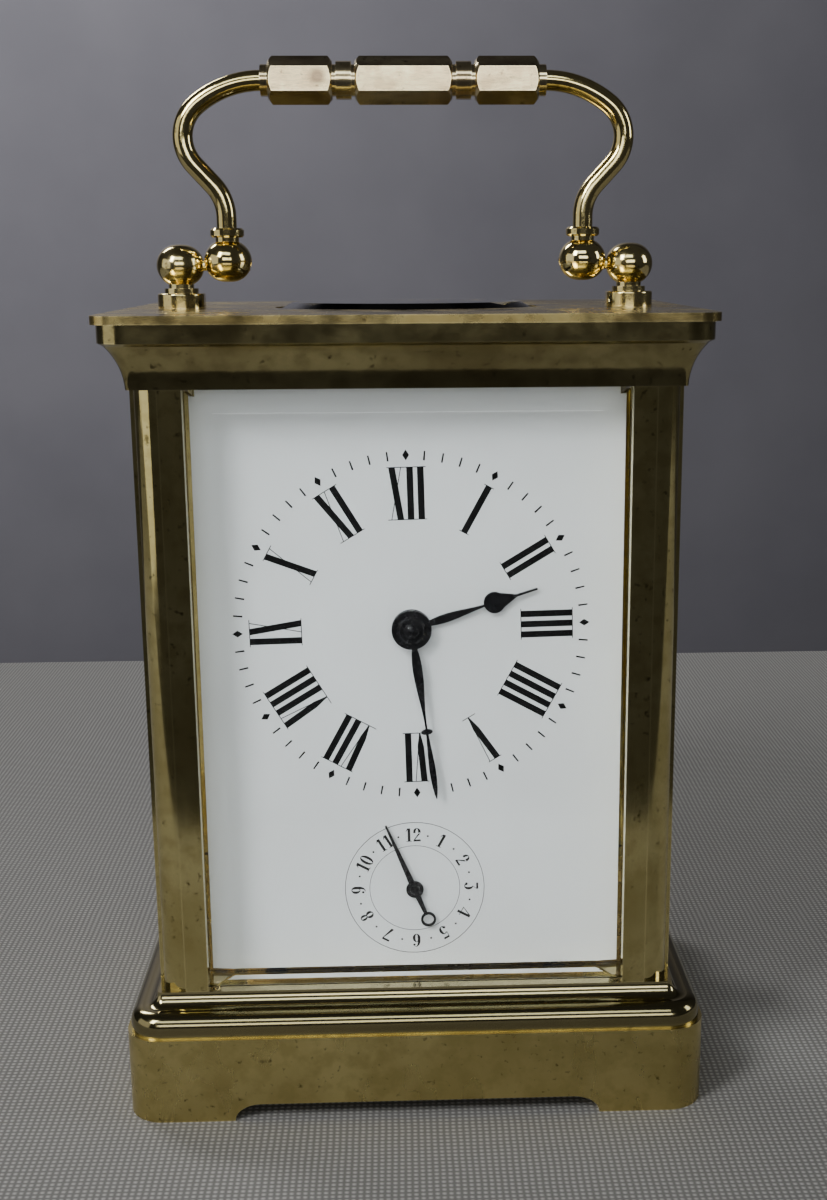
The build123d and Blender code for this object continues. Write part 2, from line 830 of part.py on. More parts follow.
def cross_pin(start, end, radius, mode=Mode.ADD):
    with BuildSketch(Plane.YZ.offset(start)) as pin:
        with Locations((0, handle_height)):
            Circle(radius)
    extrude(pin.sketch, amount=end - start, mode=mode)


def finish_pair(right, name):
    """Write the right-hand piece and its mirror image."""
    finish(right, name + "_right")
    with BuildPart() as left:
        mirror(right.part, about=Plane.YZ)
    finish(left, name + "_left")


pin_end = handle_spread - ball_width / 2 + ball_gap
foot = (post_spread, 0)
with BuildPart() as handle_post:
    drum(foot, plate_top, post_disc_height, post_disc_radius)
    fillet(handle_post.faces().sort_by(Axis.Z)[-1].edges(), case_gap)
    drum(foot, plate_top + post_disc_height, post_disc_height / 3, post_ring)
    drum(foot, plate_top + post_disc_height, handle_pivot_height - post_disc_height, post_neck_radius)
    drum(foot, plate_under - case_gap, top_plate_thickness + case_gap, case_screw_radius)
    ball(post_spread, handle_height)
    face_off(ball_edge - ball_width, ball_edge + ball_gap / 2)
    cross_pin(pin_end, post_spread, handle_pin_radius)
finish_pair(handle_post, "handle_post")

def rod_section(point, heading, radius):
    """The round section of a rod at a point of the upright X-Z plane, facing along its heading."""
    turn = math.radians(heading)
    plane = Plane(origin=(point[0], 0, point[1]), x_dir=(0, 1, 0), z_dir=(math.cos(turn), 0, math.sin(turn)))
    with BuildSketch(plane) as section:
        Circle(radius)
    return section.sketch


def rod_straight(point, heading, radius, length):
    extrude(rod_section(point, heading, radius), amount=length)
    return polar(point, length, heading)


def rod_bend(point, heading, radius, bend, turn):
    """Bend the rod by an angle, anticlockwise seen from the front; gives its new end and heading."""
    side = math.copysign(1, turn)
    middle = polar(point, bend, heading + side * quarter_turn)
    revolve(rod_section(point, heading, radius), axis=Axis((middle[0], 0, middle[1]), (0, -side, 0)),
            revolution_arc=abs(turn))
    return polar(middle, bend, heading + turn - side * quarter_turn), heading + turn


# Handle arms: a ball and collar at the pivot, then a round rod bent in an S to the grip
arm_foot = handle_height + handle_ball_rise + ball_height / 2
collar_bottom = arm_foot + collar_height / 4
foot = (handle_spread, 0)
with BuildPart() as handle_arm:
    drum(foot, collar_bottom, collar_height, collar_radius)
    chamfer(handle_arm.edges(), case_gap)
    drum(foot, handle_height + handle_ball_rise, ball_height / 2 + collar_height / 2,
         rod_radius + case_gap)
    ball(handle_spread, handle_height + handle_ball_rise)
    face_off(ball_edge - ball_gap / 2, ball_edge + ball_width)
    cross_pin(pin_end - ball_width, ball_edge, handle_pin_radius + running_gap, mode=Mode.SUBTRACT)
    stem_bottom = collar_bottom + collar_height / 2
    end = rod_straight((handle_spread, stem_bottom), quarter_turn, rod_radius, handle_height + arm_rise - stem_bottom)
    end, heading = rod_bend(end, quarter_turn, rod_radius, lower_bend, -lower_turn)
    end = rod_straight(end, heading, rod_radius, arm_straight)
    end, heading = rod_bend(end, heading, rod_radius, shoulder_bend, shoulder_turn)
    end, heading = rod_bend(end, heading, rod_radius, upper_bend, half_turn - heading)
finish_pair(handle_arm, "handle_arm")
grip_half, grip_height = end

# Grip: three six-sided lengths with turned beads between them and a collar at each end
grip_outer = grip_half - grip_end_collar
grip_spans = [
    (-grip_outer, -grip_middle_half - grip_bead_zone),
    (-grip_middle_half, grip_middle_half),
    (grip_middle_half + grip_bead_zone, grip_outer),
]
grip_flat = grip_radius * math.cos(math.pi / 6)
with BuildPart() as handle_grip:
    for left, right in grip_spans:
        with BuildSketch(Plane.YZ.offset(left)) as hexagon:
            with Locations((0, grip_height)):
                RegularPolygon(grip_radius, grip_sides, rotation=quarter_turn)
        extrude(hexagon.sketch, amount=right - left)
    with BuildSketch(Plane.XZ) as envelope:
        for left, right in grip_spans:
            with BuildLine():
                Polyline(
                    (left, grip_height), (left, grip_height + grip_flat - case_gap),
                    (left + grip_chamfer, grip_height + grip_radius),
                    (right - grip_chamfer, grip_height + grip_radius),
                    (right, grip_height + grip_flat - case_gap), (right, grip_height), close=True,
                )
            make_face()
    revolve(envelope.sketch, axis=Axis((0, 0, grip_height), (1, 0, 0)), mode=Mode.INTERSECT)
    with BuildSketch(Plane.XZ) as turned:
        with Locations((0, grip_height)):
            Rectangle(2 * grip_half, grip_collar_radius, align=(Align.CENTER, Align.MIN))
            bead_width = grip_bead_zone / 3
            with Locations(*[
                (side * (grip_middle_half + grip_bead_zone / 2 + place * bead_width), 0)
                for side in (-1, 1) for place in (-0.5, 0.5)
            ]):
                Rectangle(bead_width, grip_bead_radius, align=(Align.CENTER, Align.MIN))
    revolve(turned.sketch, axis=Axis((0, 0, grip_height), (1, 0, 0)))
finish(handle_grip, "handle_grip")

# Places of the arbors, seen from the front
centre = (0, base_top + dial_height)
alarm_centre = (0, base_top + dial_height - alarm_drop)
barrel_centre = polar(centre, barrel_module * (barrel_teeth + centre_pinion_leaves) / 2, barrel_direction)
third_centre = polar(centre, centre_module * (centre_teeth + third_pinion_leaves) / 2, third_direction)
contrate_centre = polar(
    third_centre, third_module * (third_teeth + contrate_pinion_leaves) / 2, contrate_direction
)
alarm_barrel_centre = (alarm_barrel_x, centre[1] - alarm_barrel_drop)
scape_centre = polar(
    alarm_barrel_centre, alarm_module * (alarm_barrel_teeth + scape_pinion_leaves) / 2, scape_direction
)
hammer_centre = (hammer_x, centre[1] - hammer_drop)
bell_centre = (bell_x, centre[1] - bell_drop)
upper_pillar_z = base_top + plate_height - pillar_inset
pillar_x = plate_half_width - pillar_inset
plate_pillars = [(side * pillar_x, z) for side in (-1, 1) for z in (lower_pillar_z, upper_pillar_z)]
dial_feet = [
    (side * pillar_x, z) for side in (-1, 1)
    for z in (lower_pillar_z + 2 * pillar_inset, upper_pillar_z - 2 * pillar_inset)
]

# Depths of the wheels between the plates
barrel_front = plate_inner_front + barrel_front_gap
barrel_back = barrel_front + barrel_height
centre_wheel_back = plate_inner_back - centre_wheel_setback
third_wheel_back = plate_inner_front + third_wheel_setback
contrate_back = plate_inner_front + contrate_setback
crown_tip_y = contrate_back - wheel_thickness - crown_tooth_height
contrate_radius = contrate_teeth * contrate_module / 2
escape_pinion_radius = escape_pinion_leaves * contrate_module / 2
escape_y = crown_tip_y + wheel_addendum_share * contrate_module - escape_pinion_radius
scape_back = plate_inner_back - scape_setback

# Motion work sizes: the drop to the alarm arbor fixes the tooth size
motion_module = alarm_drop / (hour_teeth / 2 + idler_teeth + alarm_teeth / 2)
minute_distance = motion_module * (hour_teeth + minute_pinion_leaves) / 2
cannon_module = 2 * minute_distance / (cannon_leaves + minute_teeth)
minute_centre = polar(centre, minute_distance, minute_direction)
idler_centre = (0, centre[1] - motion_module * (hour_teeth + idler_teeth) / 2)
cannon_back = plate_front_y - cannon_setback
minute_wheel_back = cannon_back - (pinion_overlap + pinion_overlap) / 3
hour_wheel_back = minute_wheel_back - 2 * motion_wheel_thickness - end_shake

# Heights of the platform escapement
platform_bottom = base_top + plate_height
platform_top = platform_bottom + platform_thickness
lever_x = escape_x + lever_distance
balance_x = lever_x + balance_distance
balance_place = (balance_x, escape_y)
balance_bottom = platform_top + balance_lift + escape_gap
cock_bottom = platform_top + balance_cock_lift
cock_top = cock_bottom + balance_cock_thickness

# Dial: a flat plate on four feet, pierced for the hands
dial_bottom = base_top + dial_edge_gap
dial_top = pillar_top - case_gap
with BuildPart() as dial:
    with BuildSketch(facing(dial_back_y)):
        with Locations((0, (dial_bottom + dial_top) / 2)):
            Rectangle(2 * dial_half_width, dial_top - dial_bottom)
    extrude(amount=dial_thickness)
    disc(centre, dial_back_y, dial_thickness, hour_pipe_radius + case_gap, mode=Mode.SUBTRACT)
    disc(alarm_centre, dial_back_y, dial_thickness, arbor_radius + case_gap, mode=Mode.SUBTRACT)
    for foot in dial_feet:
        disc(foot, plate_inner_front, plate_inner_front - dial_back_y, dial_foot_radius)
finish(dial, "dial")


def blade(edge, profile):
    """A stretch of a hand, from distances with their half widths; edge joins them."""
    right_side = [(half, distance) for distance, half in profile]
    left_side = [(-half, distance) for distance, half in profile]
    with BuildSketch() as face:
        with BuildLine():
            edge(*right_side)
            Line(right_side[-1], left_side[-1])
            edge(*reversed(left_side))
            Line(left_side[0], right_side[0])
        make_face()
    return face.sketch


def hand(place, angle, back, blades, hub, bore, rounds, ring_hole=0):
    """A flat hand pointing along its clock angle, from its blades and round bosses."""
    turned = Location((place[0], place[1], 0), (0, 0, -angle))
    with BuildSketch(facing(back)) as face:
        for stretch in blades:
            add(stretch.moved(turned))
        for distance, across, along in rounds:
            with Locations(turned * Location((0, distance, 0))):
                Ellipse(across, along)
                if ring_hole:
                    Circle(ring_hole, mode=Mode.SUBTRACT)
        with Locations(place):
            Circle(hub)
            Circle(bore, mode=Mode.SUBTRACT)
    extrude(face.sketch, amount=hand_thickness)


# Hands: pear hour hand, long minute hand with a knop, small alarm hand with a ring on its tail
hour_hand_back = dial_face_y - hand_gap
minute_hand_back = hour_hand_back - hand_thickness - hand_gap
pipe_front = minute_hand_back - hand_thickness
with BuildPart() as hour_hand:
    hand(centre, hour_hand_angle, hour_hand_back,
         [blade(Spline, [(hour_pipe_radius + arbor_radius, hand_root), (hour_swell_distance, hour_swell),
                         (hour_neck_distance, hand_neck), (hour_pear_distance, hand_neck)]),
          blade(Polyline, [(hour_pear_distance, hour_pear_radius), (hour_pear_end, hand_neck),
                           (hour_hand_length, hand_tip)])],
         hub_radius, hour_pipe_radius + hand_fit, [(hour_pear_distance, hour_pear_radius, hour_pear_radius)])
finish(hour_hand, "hour_hand")
with BuildPart() as minute_hand:
    hand(centre, minute_hand_angle, minute_hand_back,
         [blade(Spline, [(hour_pipe_radius + arbor_radius, hand_root), (minute_swell_distance, minute_swell),
                         (minute_neck_distance, hand_neck), (minute_knop_distance, hand_neck),
                         (minute_blade_distance, minute_blade), (minute_hand_length, hand_tip / 2)])],
         hub_radius, cannon_pipe_radius + hand_fit,
         [(minute_knop_distance, minute_knop_width, minute_knop_height)])
finish(minute_hand, "minute_hand")
with BuildPart() as alarm_hand:
    hand(alarm_centre, alarm_hand_angle, hour_hand_back,
         [blade(Polyline, [(-alarm_ring_distance + alarm_ring_hole, hand_stem / 2), (0, hand_stem),
                           (alarm_hand_length, hand_tip)])],
         alarm_hub_radius, arbor_radius + hand_fit,
         [(-alarm_ring_distance, alarm_ring_radius, alarm_ring_radius)], alarm_ring_hole)
finish(alarm_hand, "alarm_hand")

# Collet and pin that hold the minute hand on its arbor
arbor_front = pipe_front - 2 * collet_height
with BuildPart() as hand_collet:
    disc(centre, pipe_front - hand_fit, collet_height, collet_radius, arbor_radius + hand_fit)
    chamfer(hand_collet.faces().sort_by(Axis.Y)[0].outer_wire().edges(), collet_height / 2)
finish(hand_collet, "hand_collet")

# Movement plates, with the studs that the motion wheels and clicks turn on
ratchet_back = plate_back_y + end_shake + ratchet_thickness
click_place = polar(barrel_centre, click_distance, click_direction)
alarm_click_distance = click_distance - ratchet_radius + alarm_ratchet_radius
alarm_click_place = polar(alarm_barrel_centre, alarm_click_distance, click_direction)
bushed = [third_centre, contrate_centre, scape_centre]


def movement_plate(back):
    extrude(rectangle_on(
        Plane(origin=(0, back, base_top + plate_height / 2), x_dir=(1, 0, 0), z_dir=(0, -1, 0)),
        2 * plate_half_width, plate_height), amount=plate_thickness)
    holes(plate_pillars, back, plate_thickness, plate_screw_radius + running_gap)
    holes([centre, alarm_centre], back, plate_thickness, arbor_radius + running_gap)
    holes(bushed, back, plate_thickness, pivot_radius + running_gap)
    holes([barrel_centre, alarm_barrel_centre], back, plate_thickness, barrel_pivot_radius + running_gap)
    for side in (-1, 1):
        drum((side * platform_screw_spread, back - plate_thickness / 2),
             platform_bottom - plate_screw_length, plate_screw_length, platform_screw_radius + fit_gap / 2,
             mode=Mode.SUBTRACT)


with BuildPart() as front_plate:
    movement_plate(plate_inner_front)
    holes(dial_feet, plate_inner_front, plate_thickness, dial_foot_radius + running_gap)
    holes([hammer_centre], plate_inner_front, plate_thickness, pivot_radius + running_gap)
    for stud in (minute_centre, idler_centre):
        disc(stud, plate_front_y, plate_front_y - hour_wheel_back + motion_wheel_thickness + motion_gap,
             arbor_radius)
finish(front_plate, "front_plate")
with BuildPart() as back_plate:
    movement_plate(plate_back_y)
    holes([hammer_centre], plate_back_y, plate_thickness, arbor_radius + running_gap)
    for stud in (click_place, alarm_click_place):
        disc(stud, ratchet_back + case_gap, ratchet_back + case_gap - plate_back_y, click_stud_radius)
finish(back_plate, "back_plate")

# Four turned pillars between the plates, tapped at the ends and, for the seat, from below
with BuildPart() as movement_pillars:
    for place in plate_pillars:
        disc(place, plate_inner_back, plate_spacing, movement_pillar_radius)
        disc(place, plate_inner_back, plate_screw_length, plate_screw_radius + fit_gap / 2,
             mode=Mode.SUBTRACT)
        disc(place, plate_inner_front + plate_screw_length, plate_screw_length,
             plate_screw_radius + fit_gap / 2, mode=Mode.SUBTRACT)
    for place in seat_screws:
        drum(place, base_top, movement_pillar_radius + plate_screw_radius, plate_screw_radius + fit_gap / 2,
             mode=Mode.SUBTRACT)
finish(movement_pillars, "movement_pillars")

# Screws of the movement: plates, seat and platform
seat_web_bottom = skirt_height - 2 * seat_thickness + moulding_height
with BuildPart() as movement_screws:
    for place in plate_pillars:
        disc(place, plate_front_y, plate_screw_head_height, plate_screw_head)
        disc(place, plate_inner_front + plate_screw_length - case_gap,
             plate_screw_length + plate_thickness - case_gap, plate_screw_radius)
        disc(place, plate_back_y + plate_screw_head_height, plate_screw_head_height, plate_screw_head)
        disc(place, plate_back_y, plate_screw_length + plate_thickness - case_gap, plate_screw_radius)
    for place in seat_screws:
        drum(place, seat_web_bottom - plate_screw_head_height, plate_screw_head_height, plate_screw_head)
        drum(place, seat_web_bottom, base_top - seat_web_bottom + movement_pillar_radius,
             plate_screw_radius)
    for side in (-1, 1):
        for plate_middle in (plate_front_y + plate_thickness / 2, plate_back_y - plate_thickness / 2):
            place = (side * platform_screw_spread, plate_middle)
            drum(place, platform_top, plate_screw_head_height, 2 * platform_screw_radius)
            drum(place, platform_bottom - plate_screw_length + case_gap,
                 platform_thickness + plate_screw_length - case_gap, platform_screw_radius)
finish(movement_screws, "movement_screws")


def arbor(place, pivot, front=plate_inner_front, back=plate_inner_back, radius=arbor_radius):
    """An arbor between the plates with a pivot at each end."""
    disc(place, back - end_shake, back - front - 2 * end_shake, radius)
    disc(place, back + plate_thickness, back - front + 2 * plate_thickness, pivot)


def spiral(plane, place, inner, outer, turns, thickness, height, steps=24):
    """A flat spiral strip wound outwards, extruded to its height."""
    inside, outside = [], []
    for step in range(turns * steps + 1):
        radius = inner + (outer - inner) * step / (turns * steps)
        inside.append(polar(place, radius - thickness / 2, 360 * step / steps))
        outside.append(polar(place, radius + thickness / 2, 360 * step / steps))
    with BuildSketch(plane) as strip:
        with BuildLine():
            Polyline(*inside, *reversed(outside), close=True)
        make_face()
    extrude(strip.sketch, amount=height)


# Going barrel: toothed at the back, open at the front for its cover
barrel_radius = barrel_module * barrel_teeth / 2
barrel_drum = barrel_radius - 2 * wheel_dedendum_share * barrel_module
barrel_phase = mesh_phase(barrel_direction, 0, centre_pinion_leaves, barrel_teeth)
with BuildPart() as going_barrel:
    wheel(barrel_centre, barrel_teeth, barrel_module, barrel_phase, barrel_back, barrel_tooth_width)
    disc(barrel_centre, barrel_back, barrel_height, barrel_drum)
    disc(barrel_centre, barrel_back - barrel_wall, barrel_height, barrel_drum - barrel_wall,
         mode=Mode.SUBTRACT)
    disc(barrel_centre, barrel_back, barrel_height, barrel_pivot_radius + running_gap, mode=Mode.SUBTRACT)
finish(going_barrel, "going_barrel")
with BuildPart() as barrel_cover:
    disc(barrel_centre, barrel_front + barrel_wall, barrel_wall, barrel_drum - barrel_wall - running_gap,
         barrel_pivot_radius + running_gap)
finish(barrel_cover, "barrel_cover")
with BuildPart() as mainspring:
    spiral(facing(barrel_back - barrel_wall - spring_gap), barrel_centre,
           barrel_core_radius + spring_gap + spring_thickness,
           barrel_drum - barrel_wall - spring_gap - spring_thickness / 2, spring_turns, spring_thickness,
           barrel_height - 2 * (barrel_wall + spring_gap))
finish(mainspring, "mainspring")

# Winding arbor with its square, and the ratchet that it carries behind the plate
with BuildPart() as winding_arbor:
    disc(barrel_centre, barrel_back - barrel_wall - end_shake,
         barrel_height - 2 * (barrel_wall + end_shake), barrel_core_radius)
    disc(barrel_centre, ratchet_back, ratchet_back - plate_front_y, barrel_pivot_radius)
    with BuildSketch(facing(ratchet_back + square_length)):
        with Locations(barrel_centre):
            Rectangle(square_size, square_size)
    extrude(amount=square_length)
finish(winding_arbor, "winding_arbor")


def ratchet(place, radius, teeth, bore):
    """A saw-toothed wheel that its click holds against the pull of the spring."""
    pitch = 360 / teeth
    points = []
    for tooth in range(teeth):
        points.append(polar(place, radius, tooth * pitch))
        points.append(polar(place, radius - ratchet_depth, (tooth + saw_tip_share) * pitch))
        points.append(polar(place, radius - saw_tip_share * ratchet_depth, (tooth + saw_root_share) * pitch))
    with BuildSketch(facing(ratchet_back)) as face:
        with BuildLine():
            Polyline(*points, close=True)
        make_face()
        with Locations(place):
            Circle(bore, mode=Mode.SUBTRACT)
    extrude(face.sketch, amount=ratchet_thickness)


with BuildPart() as ratchet_wheel:
    ratchet(barrel_centre, ratchet_radius, ratchet_teeth, barrel_pivot_radius + hand_fit)
finish(ratchet_wheel, "ratchet_wheel")


def click_lever(stud, place, radius):
    """A click: an eye on its stud and a beak resting just clear of the ratchet's teeth."""
    tip = polar(place, radius + ratchet_gap, click_tip_direction)
    heel = polar(place, radius + ratchet_gap + click_hub, click_tip_direction + click_hub)
    with BuildSketch(facing(ratchet_back)) as face:
        with Locations(stud):
            Circle(click_hub)
        with BuildLine():
            Polyline(tip, heel, polar(stud, click_hub / 2, click_direction),
                     polar(stud, click_hub / 2, click_direction + half_turn), close=True)
        make_face()
        with Locations(stud):
            Circle(click_stud_radius + running_gap, mode=Mode.SUBTRACT)
    extrude(face.sketch, amount=ratchet_thickness)


with BuildPart() as click:
    click_lever(click_place, barrel_centre, ratchet_radius)
finish(click, "click")
with BuildPart() as alarm_click:
    click_lever(alarm_click_place, alarm_barrel_centre, alarm_ratchet_radius)
finish(alarm_click, "alarm_click")
with BuildPart() as click_springs:
    for place, radius in ((barrel_centre, ratchet_radius), (alarm_barrel_centre, alarm_ratchet_radius)):
        block = polar(place, radius + 4 * click_hub, click_tip_direction - 6 * click_hub)
        reach = polar(place, radius + ratchet_gap + 2 * click_hub, click_tip_direction + click_hub)
        disc(block, ratchet_back, ratchet_thickness + end_shake, click_hub / 2)
        with BuildSketch(facing(ratchet_back)) as blade:
            with BuildLine():
                Polyline(block, reach, (reach[0], reach[1] + click_spring_thickness),
                         (block[0], block[1] + click_spring_thickness), close=True)
            make_face()
        extrude(blade.sketch, amount=ratchet_thickness / 2)
finish(click_springs, "click_springs")

# Centre wheel on the arbor that drives the hands, once round in an hour
centre_radius = centre_module * centre_teeth / 2
with BuildPart() as centre_wheel:
    wheel(centre, centre_teeth, centre_module, 0, centre_wheel_back)
    crossings(centre, facing(centre_wheel_back), wheel_thickness, centre_radius - 2 * wheel_thickness,
              2 * hub_wall, 4, hub_wall)
    pinion(centre, centre_pinion_leaves, barrel_module, 0, facing(barrel_back + pinion_overlap),
           barrel_tooth_width + 2 * pinion_overlap)
    disc(centre, plate_inner_back - end_shake, plate_inner_back - plate_inner_front - 2 * end_shake,
         arbor_radius + pinion_overlap)
    disc(centre, plate_back_y, plate_back_y - arbor_front, arbor_radius)
finish(centre_wheel, "centre_wheel")

# Third wheel and its pinion
third_phase = mesh_phase(third_direction, 0, centre_teeth, third_pinion_leaves)
with BuildPart() as third_wheel:
    wheel(third_centre, third_teeth, third_module, 0, third_wheel_back)
    crossings(third_centre, facing(third_wheel_back), wheel_thickness,
              third_module * third_teeth / 2 - 3 * hub_wall / 2, 3 * hub_wall / 2, 4, hub_wall)
    pinion(third_centre, third_pinion_leaves, centre_module, third_phase,
           facing(centre_wheel_back + pinion_overlap), wheel_thickness + 2 * pinion_overlap)
    arbor(third_centre, pivot_radius)
finish(third_wheel, "third_wheel")

# Contrate wheel: crown teeth on its front edge turn the drive up to the platform
contrate_phase = mesh_phase(contrate_direction, 0, third_teeth, contrate_pinion_leaves)
with BuildPart() as contrate_wheel:
    disc(contrate_centre, contrate_back, wheel_thickness, contrate_radius + crown_tooth_length / 2)
    crossings(contrate_centre, facing(contrate_back), wheel_thickness,
              contrate_radius - crown_tooth_length / 2 - hub_wall / 2, 3 * hub_wall / 2, 4, hub_wall)
    with BuildSketch(facing(contrate_back - wheel_thickness)) as crown:
        with Locations(contrate_centre):
            with PolarLocations(contrate_radius, contrate_teeth, start_angle=quarter_turn):
                Rectangle(crown_tooth_length, crown_tooth_width)
    extrude(crown.sketch, amount=crown_tooth_height)
    pinion(contrate_centre, contrate_pinion_leaves, third_module, contrate_phase,
           facing(third_wheel_back + pinion_overlap), wheel_thickness + 2 * pinion_overlap)
    arbor(contrate_centre, pivot_radius)
finish(contrate_wheel, "contrate_wheel")

# Motion work under the dial
cannon_phase = 0
minute_phase = mesh_phase(minute_direction, cannon_phase, cannon_leaves, minute_teeth)
hour_phase = mesh_phase(minute_direction + half_turn, minute_phase, minute_pinion_leaves, hour_teeth)
idler_phase = mesh_phase(-quarter_turn, hour_phase, hour_teeth, idler_teeth)
alarm_phase = mesh_phase(-quarter_turn, idler_phase, idler_teeth, alarm_teeth)
with BuildPart() as cannon_pinion:
    pinion(centre, cannon_leaves, cannon_module, cannon_phase, facing(cannon_back),
           motion_wheel_thickness + 2 * cannon_setback)
    disc(centre, cannon_back, cannon_back - pipe_front, cannon_pipe_radius)
    disc(centre, cannon_back, cannon_back - pipe_front, arbor_radius + hand_fit, mode=Mode.SUBTRACT)
finish(cannon_pinion, "cannon_pinion")
with BuildPart() as minute_wheel:
    wheel(minute_centre, minute_teeth, cannon_module, minute_phase, minute_wheel_back,
          motion_wheel_thickness)
    pinion(minute_centre, minute_pinion_leaves, motion_module, minute_phase,
           facing(minute_wheel_back - motion_wheel_thickness),
           hour_wheel_back * (-1) + minute_wheel_back - motion_wheel_thickness + motion_wheel_thickness
           + cannon_setback)
    disc(minute_centre, minute_wheel_back, plate_thickness + plate_spacing, arbor_radius + running_gap,
         mode=Mode.SUBTRACT)
finish(minute_wheel, "minute_wheel")
with BuildPart() as hour_wheel:
    wheel(centre, hour_teeth, motion_module, hour_phase, hour_wheel_back, motion_wheel_thickness)
    disc(centre, hour_wheel_back, hour_wheel_back - hour_hand_back + hand_thickness, hour_pipe_radius)
    disc(centre, hour_wheel_back, hour_wheel_back - hour_hand_back + hand_thickness,
         cannon_pipe_radius + running_gap, mode=Mode.SUBTRACT)
finish(hour_wheel, "hour_wheel")
with BuildPart() as alarm_idler:
    wheel(idler_centre, idler_teeth, motion_module, idler_phase, hour_wheel_back, motion_wheel_thickness)
    crossings(idler_centre, facing(hour_wheel_back), motion_wheel_thickness,
              motion_module * idler_teeth / 2 - 3 * hub_wall / 2, 2 * hub_wall, 5, hub_wall)
    disc(idler_centre, plate_front_y - end_shake, plate_front_y - end_shake - hour_wheel_back,
         hub_wall + pinion_overlap)
    disc(idler_centre, plate_front_y, plate_thickness + plate_spacing, arbor_radius + running_gap,
         mode=Mode.SUBTRACT)
finish(alarm_idler, "alarm_idler")
with BuildPart() as alarm_wheel:
    wheel(alarm_centre, alarm_teeth, motion_module, alarm_phase, hour_wheel_back, motion_wheel_thickness)
    disc(alarm_centre, plate_front_y - end_shake, plate_front_y - end_shake - hour_wheel_back,
         hub_wall + pinion_overlap)
    disc(alarm_centre, plate_front_y, plate_thickness + plate_spacing, arbor_radius + running_gap,
         mode=Mode.SUBTRACT)
finish(alarm_wheel, "alarm_wheel")

# Alarm setting arbor with its knob behind the back plate
knob_back = plate_back_y + alarm_knob_setback + alarm_knob_length
with BuildPart() as alarm_arbor:
    disc(alarm_centre, knob_back, knob_back - hour_hand_back + hand_thickness, arbor_radius)
    disc(alarm_centre, knob_back, alarm_knob_length, alarm_knob_radius)
    chamfer(alarm_arbor.faces().sort_by(Axis.Y)[-1].edges(), case_gap)
    disc(alarm_centre, plate_inner_back - end_shake, plate_thickness, 2 * arbor_radius)
finish(alarm_arbor, "alarm_arbor")

# Alarm barrel, its winding arbor and ratchet
alarm_barrel_radius = alarm_module * alarm_barrel_teeth / 2
alarm_drum = alarm_barrel_radius - 2 * wheel_dedendum_share * alarm_module
alarm_barrel_back = barrel_front + alarm_barrel_height
with BuildPart() as alarm_barrel:
    wheel(alarm_barrel_centre, alarm_barrel_teeth, alarm_module, 0, alarm_barrel_back, barrel_tooth_width)
    disc(alarm_barrel_centre, alarm_barrel_back, alarm_barrel_height, alarm_drum)
    disc(alarm_barrel_centre, alarm_barrel_back - barrel_wall, alarm_barrel_height,
         alarm_drum - barrel_wall, mode=Mode.SUBTRACT)
    disc(alarm_barrel_centre, alarm_barrel_back, alarm_barrel_height, barrel_pivot_radius + running_gap,
         mode=Mode.SUBTRACT)
finish(alarm_barrel, "alarm_barrel")
with BuildPart() as alarm_winding_arbor:
    disc(alarm_barrel_centre, alarm_barrel_back - barrel_wall - end_shake,
         alarm_barrel_height - barrel_wall - end_shake, alarm_core_radius)
    disc(alarm_barrel_centre, ratchet_back, ratchet_back - plate_front_y, barrel_pivot_radius)
    ratchet(alarm_barrel_centre, alarm_ratchet_radius, alarm_ratchet_teeth, barrel_pivot_radius)
    with BuildSketch(facing(ratchet_back + square_length)):
        with Locations(alarm_barrel_centre):
            Rectangle(alarm_square, alarm_square)
    extrude(amount=square_length)
finish(alarm_winding_arbor, "alarm_winding_arbor")

# Alarm scape wheel, whose teeth rock the hammer
scape_phase = mesh_phase(scape_direction, 0, alarm_barrel_teeth, scape_pinion_leaves)
with BuildPart() as alarm_scape_wheel:
    toothed(scape_centre, scape_teeth, scape_radius - scape_tooth_depth, scape_radius,
            wheel_root_width_share, wheel_tip_width_share, 0, facing(scape_back), wheel_thickness)
    pinion(scape_centre, scape_pinion_leaves, alarm_module, scape_phase,
           facing(alarm_barrel_back + pinion_overlap), barrel_tooth_width + 2 * pinion_overlap)
    arbor(scape_centre, pivot_radius)
finish(alarm_scape_wheel, "alarm_scape_wheel")

# Hammer: pallets on an arbor between the plates, arm and head behind them
arm_back = plate_back_y + hammer_arm_setback + hammer_arm_width
to_scape = math.degrees(math.atan2(scape_centre[1] - hammer_centre[1], scape_centre[0] - hammer_centre[0]))
head_place = polar(hammer_centre, hammer_reach, hammer_direction)
with BuildPart() as hammer:
    disc(hammer_centre, arm_back, arm_back - plate_inner_front - end_shake, arbor_radius)
    disc(hammer_centre, arm_back, arm_back - plate_front_y, pivot_radius)
    disc(hammer_centre, scape_back + pinion_overlap, prong_thickness, 2 * arbor_radius)
    disc(hammer_centre, arm_back, hammer_arm_width, 2 * arbor_radius)
    with BuildSketch(facing(scape_back + pinion_overlap)) as prongs:
        for side in (-1, 1):
            with Locations(Location((hammer_centre[0], hammer_centre[1], 0),
                                    (0, 0, to_scape + prong_lean + side * prong_spread))):
                Rectangle(prong_reach, hammer_arm_width, align=(Align.MIN, Align.CENTER))
    extrude(prongs.sketch, amount=prong_thickness)
    with BuildSketch(facing(arm_back)) as arm_blade:
        with Locations(Location((hammer_centre[0], hammer_centre[1], 0), (0, 0, hammer_direction))):
            Rectangle(hammer_reach, hammer_arm_width, align=(Align.MIN, Align.CENTER))
    extrude(arm_blade.sketch, amount=hammer_arm_width)
    disc(head_place, arm_back + hammer_head_length / 4, hammer_head_length, hammer_head_radius)
finish(hammer, "hammer")

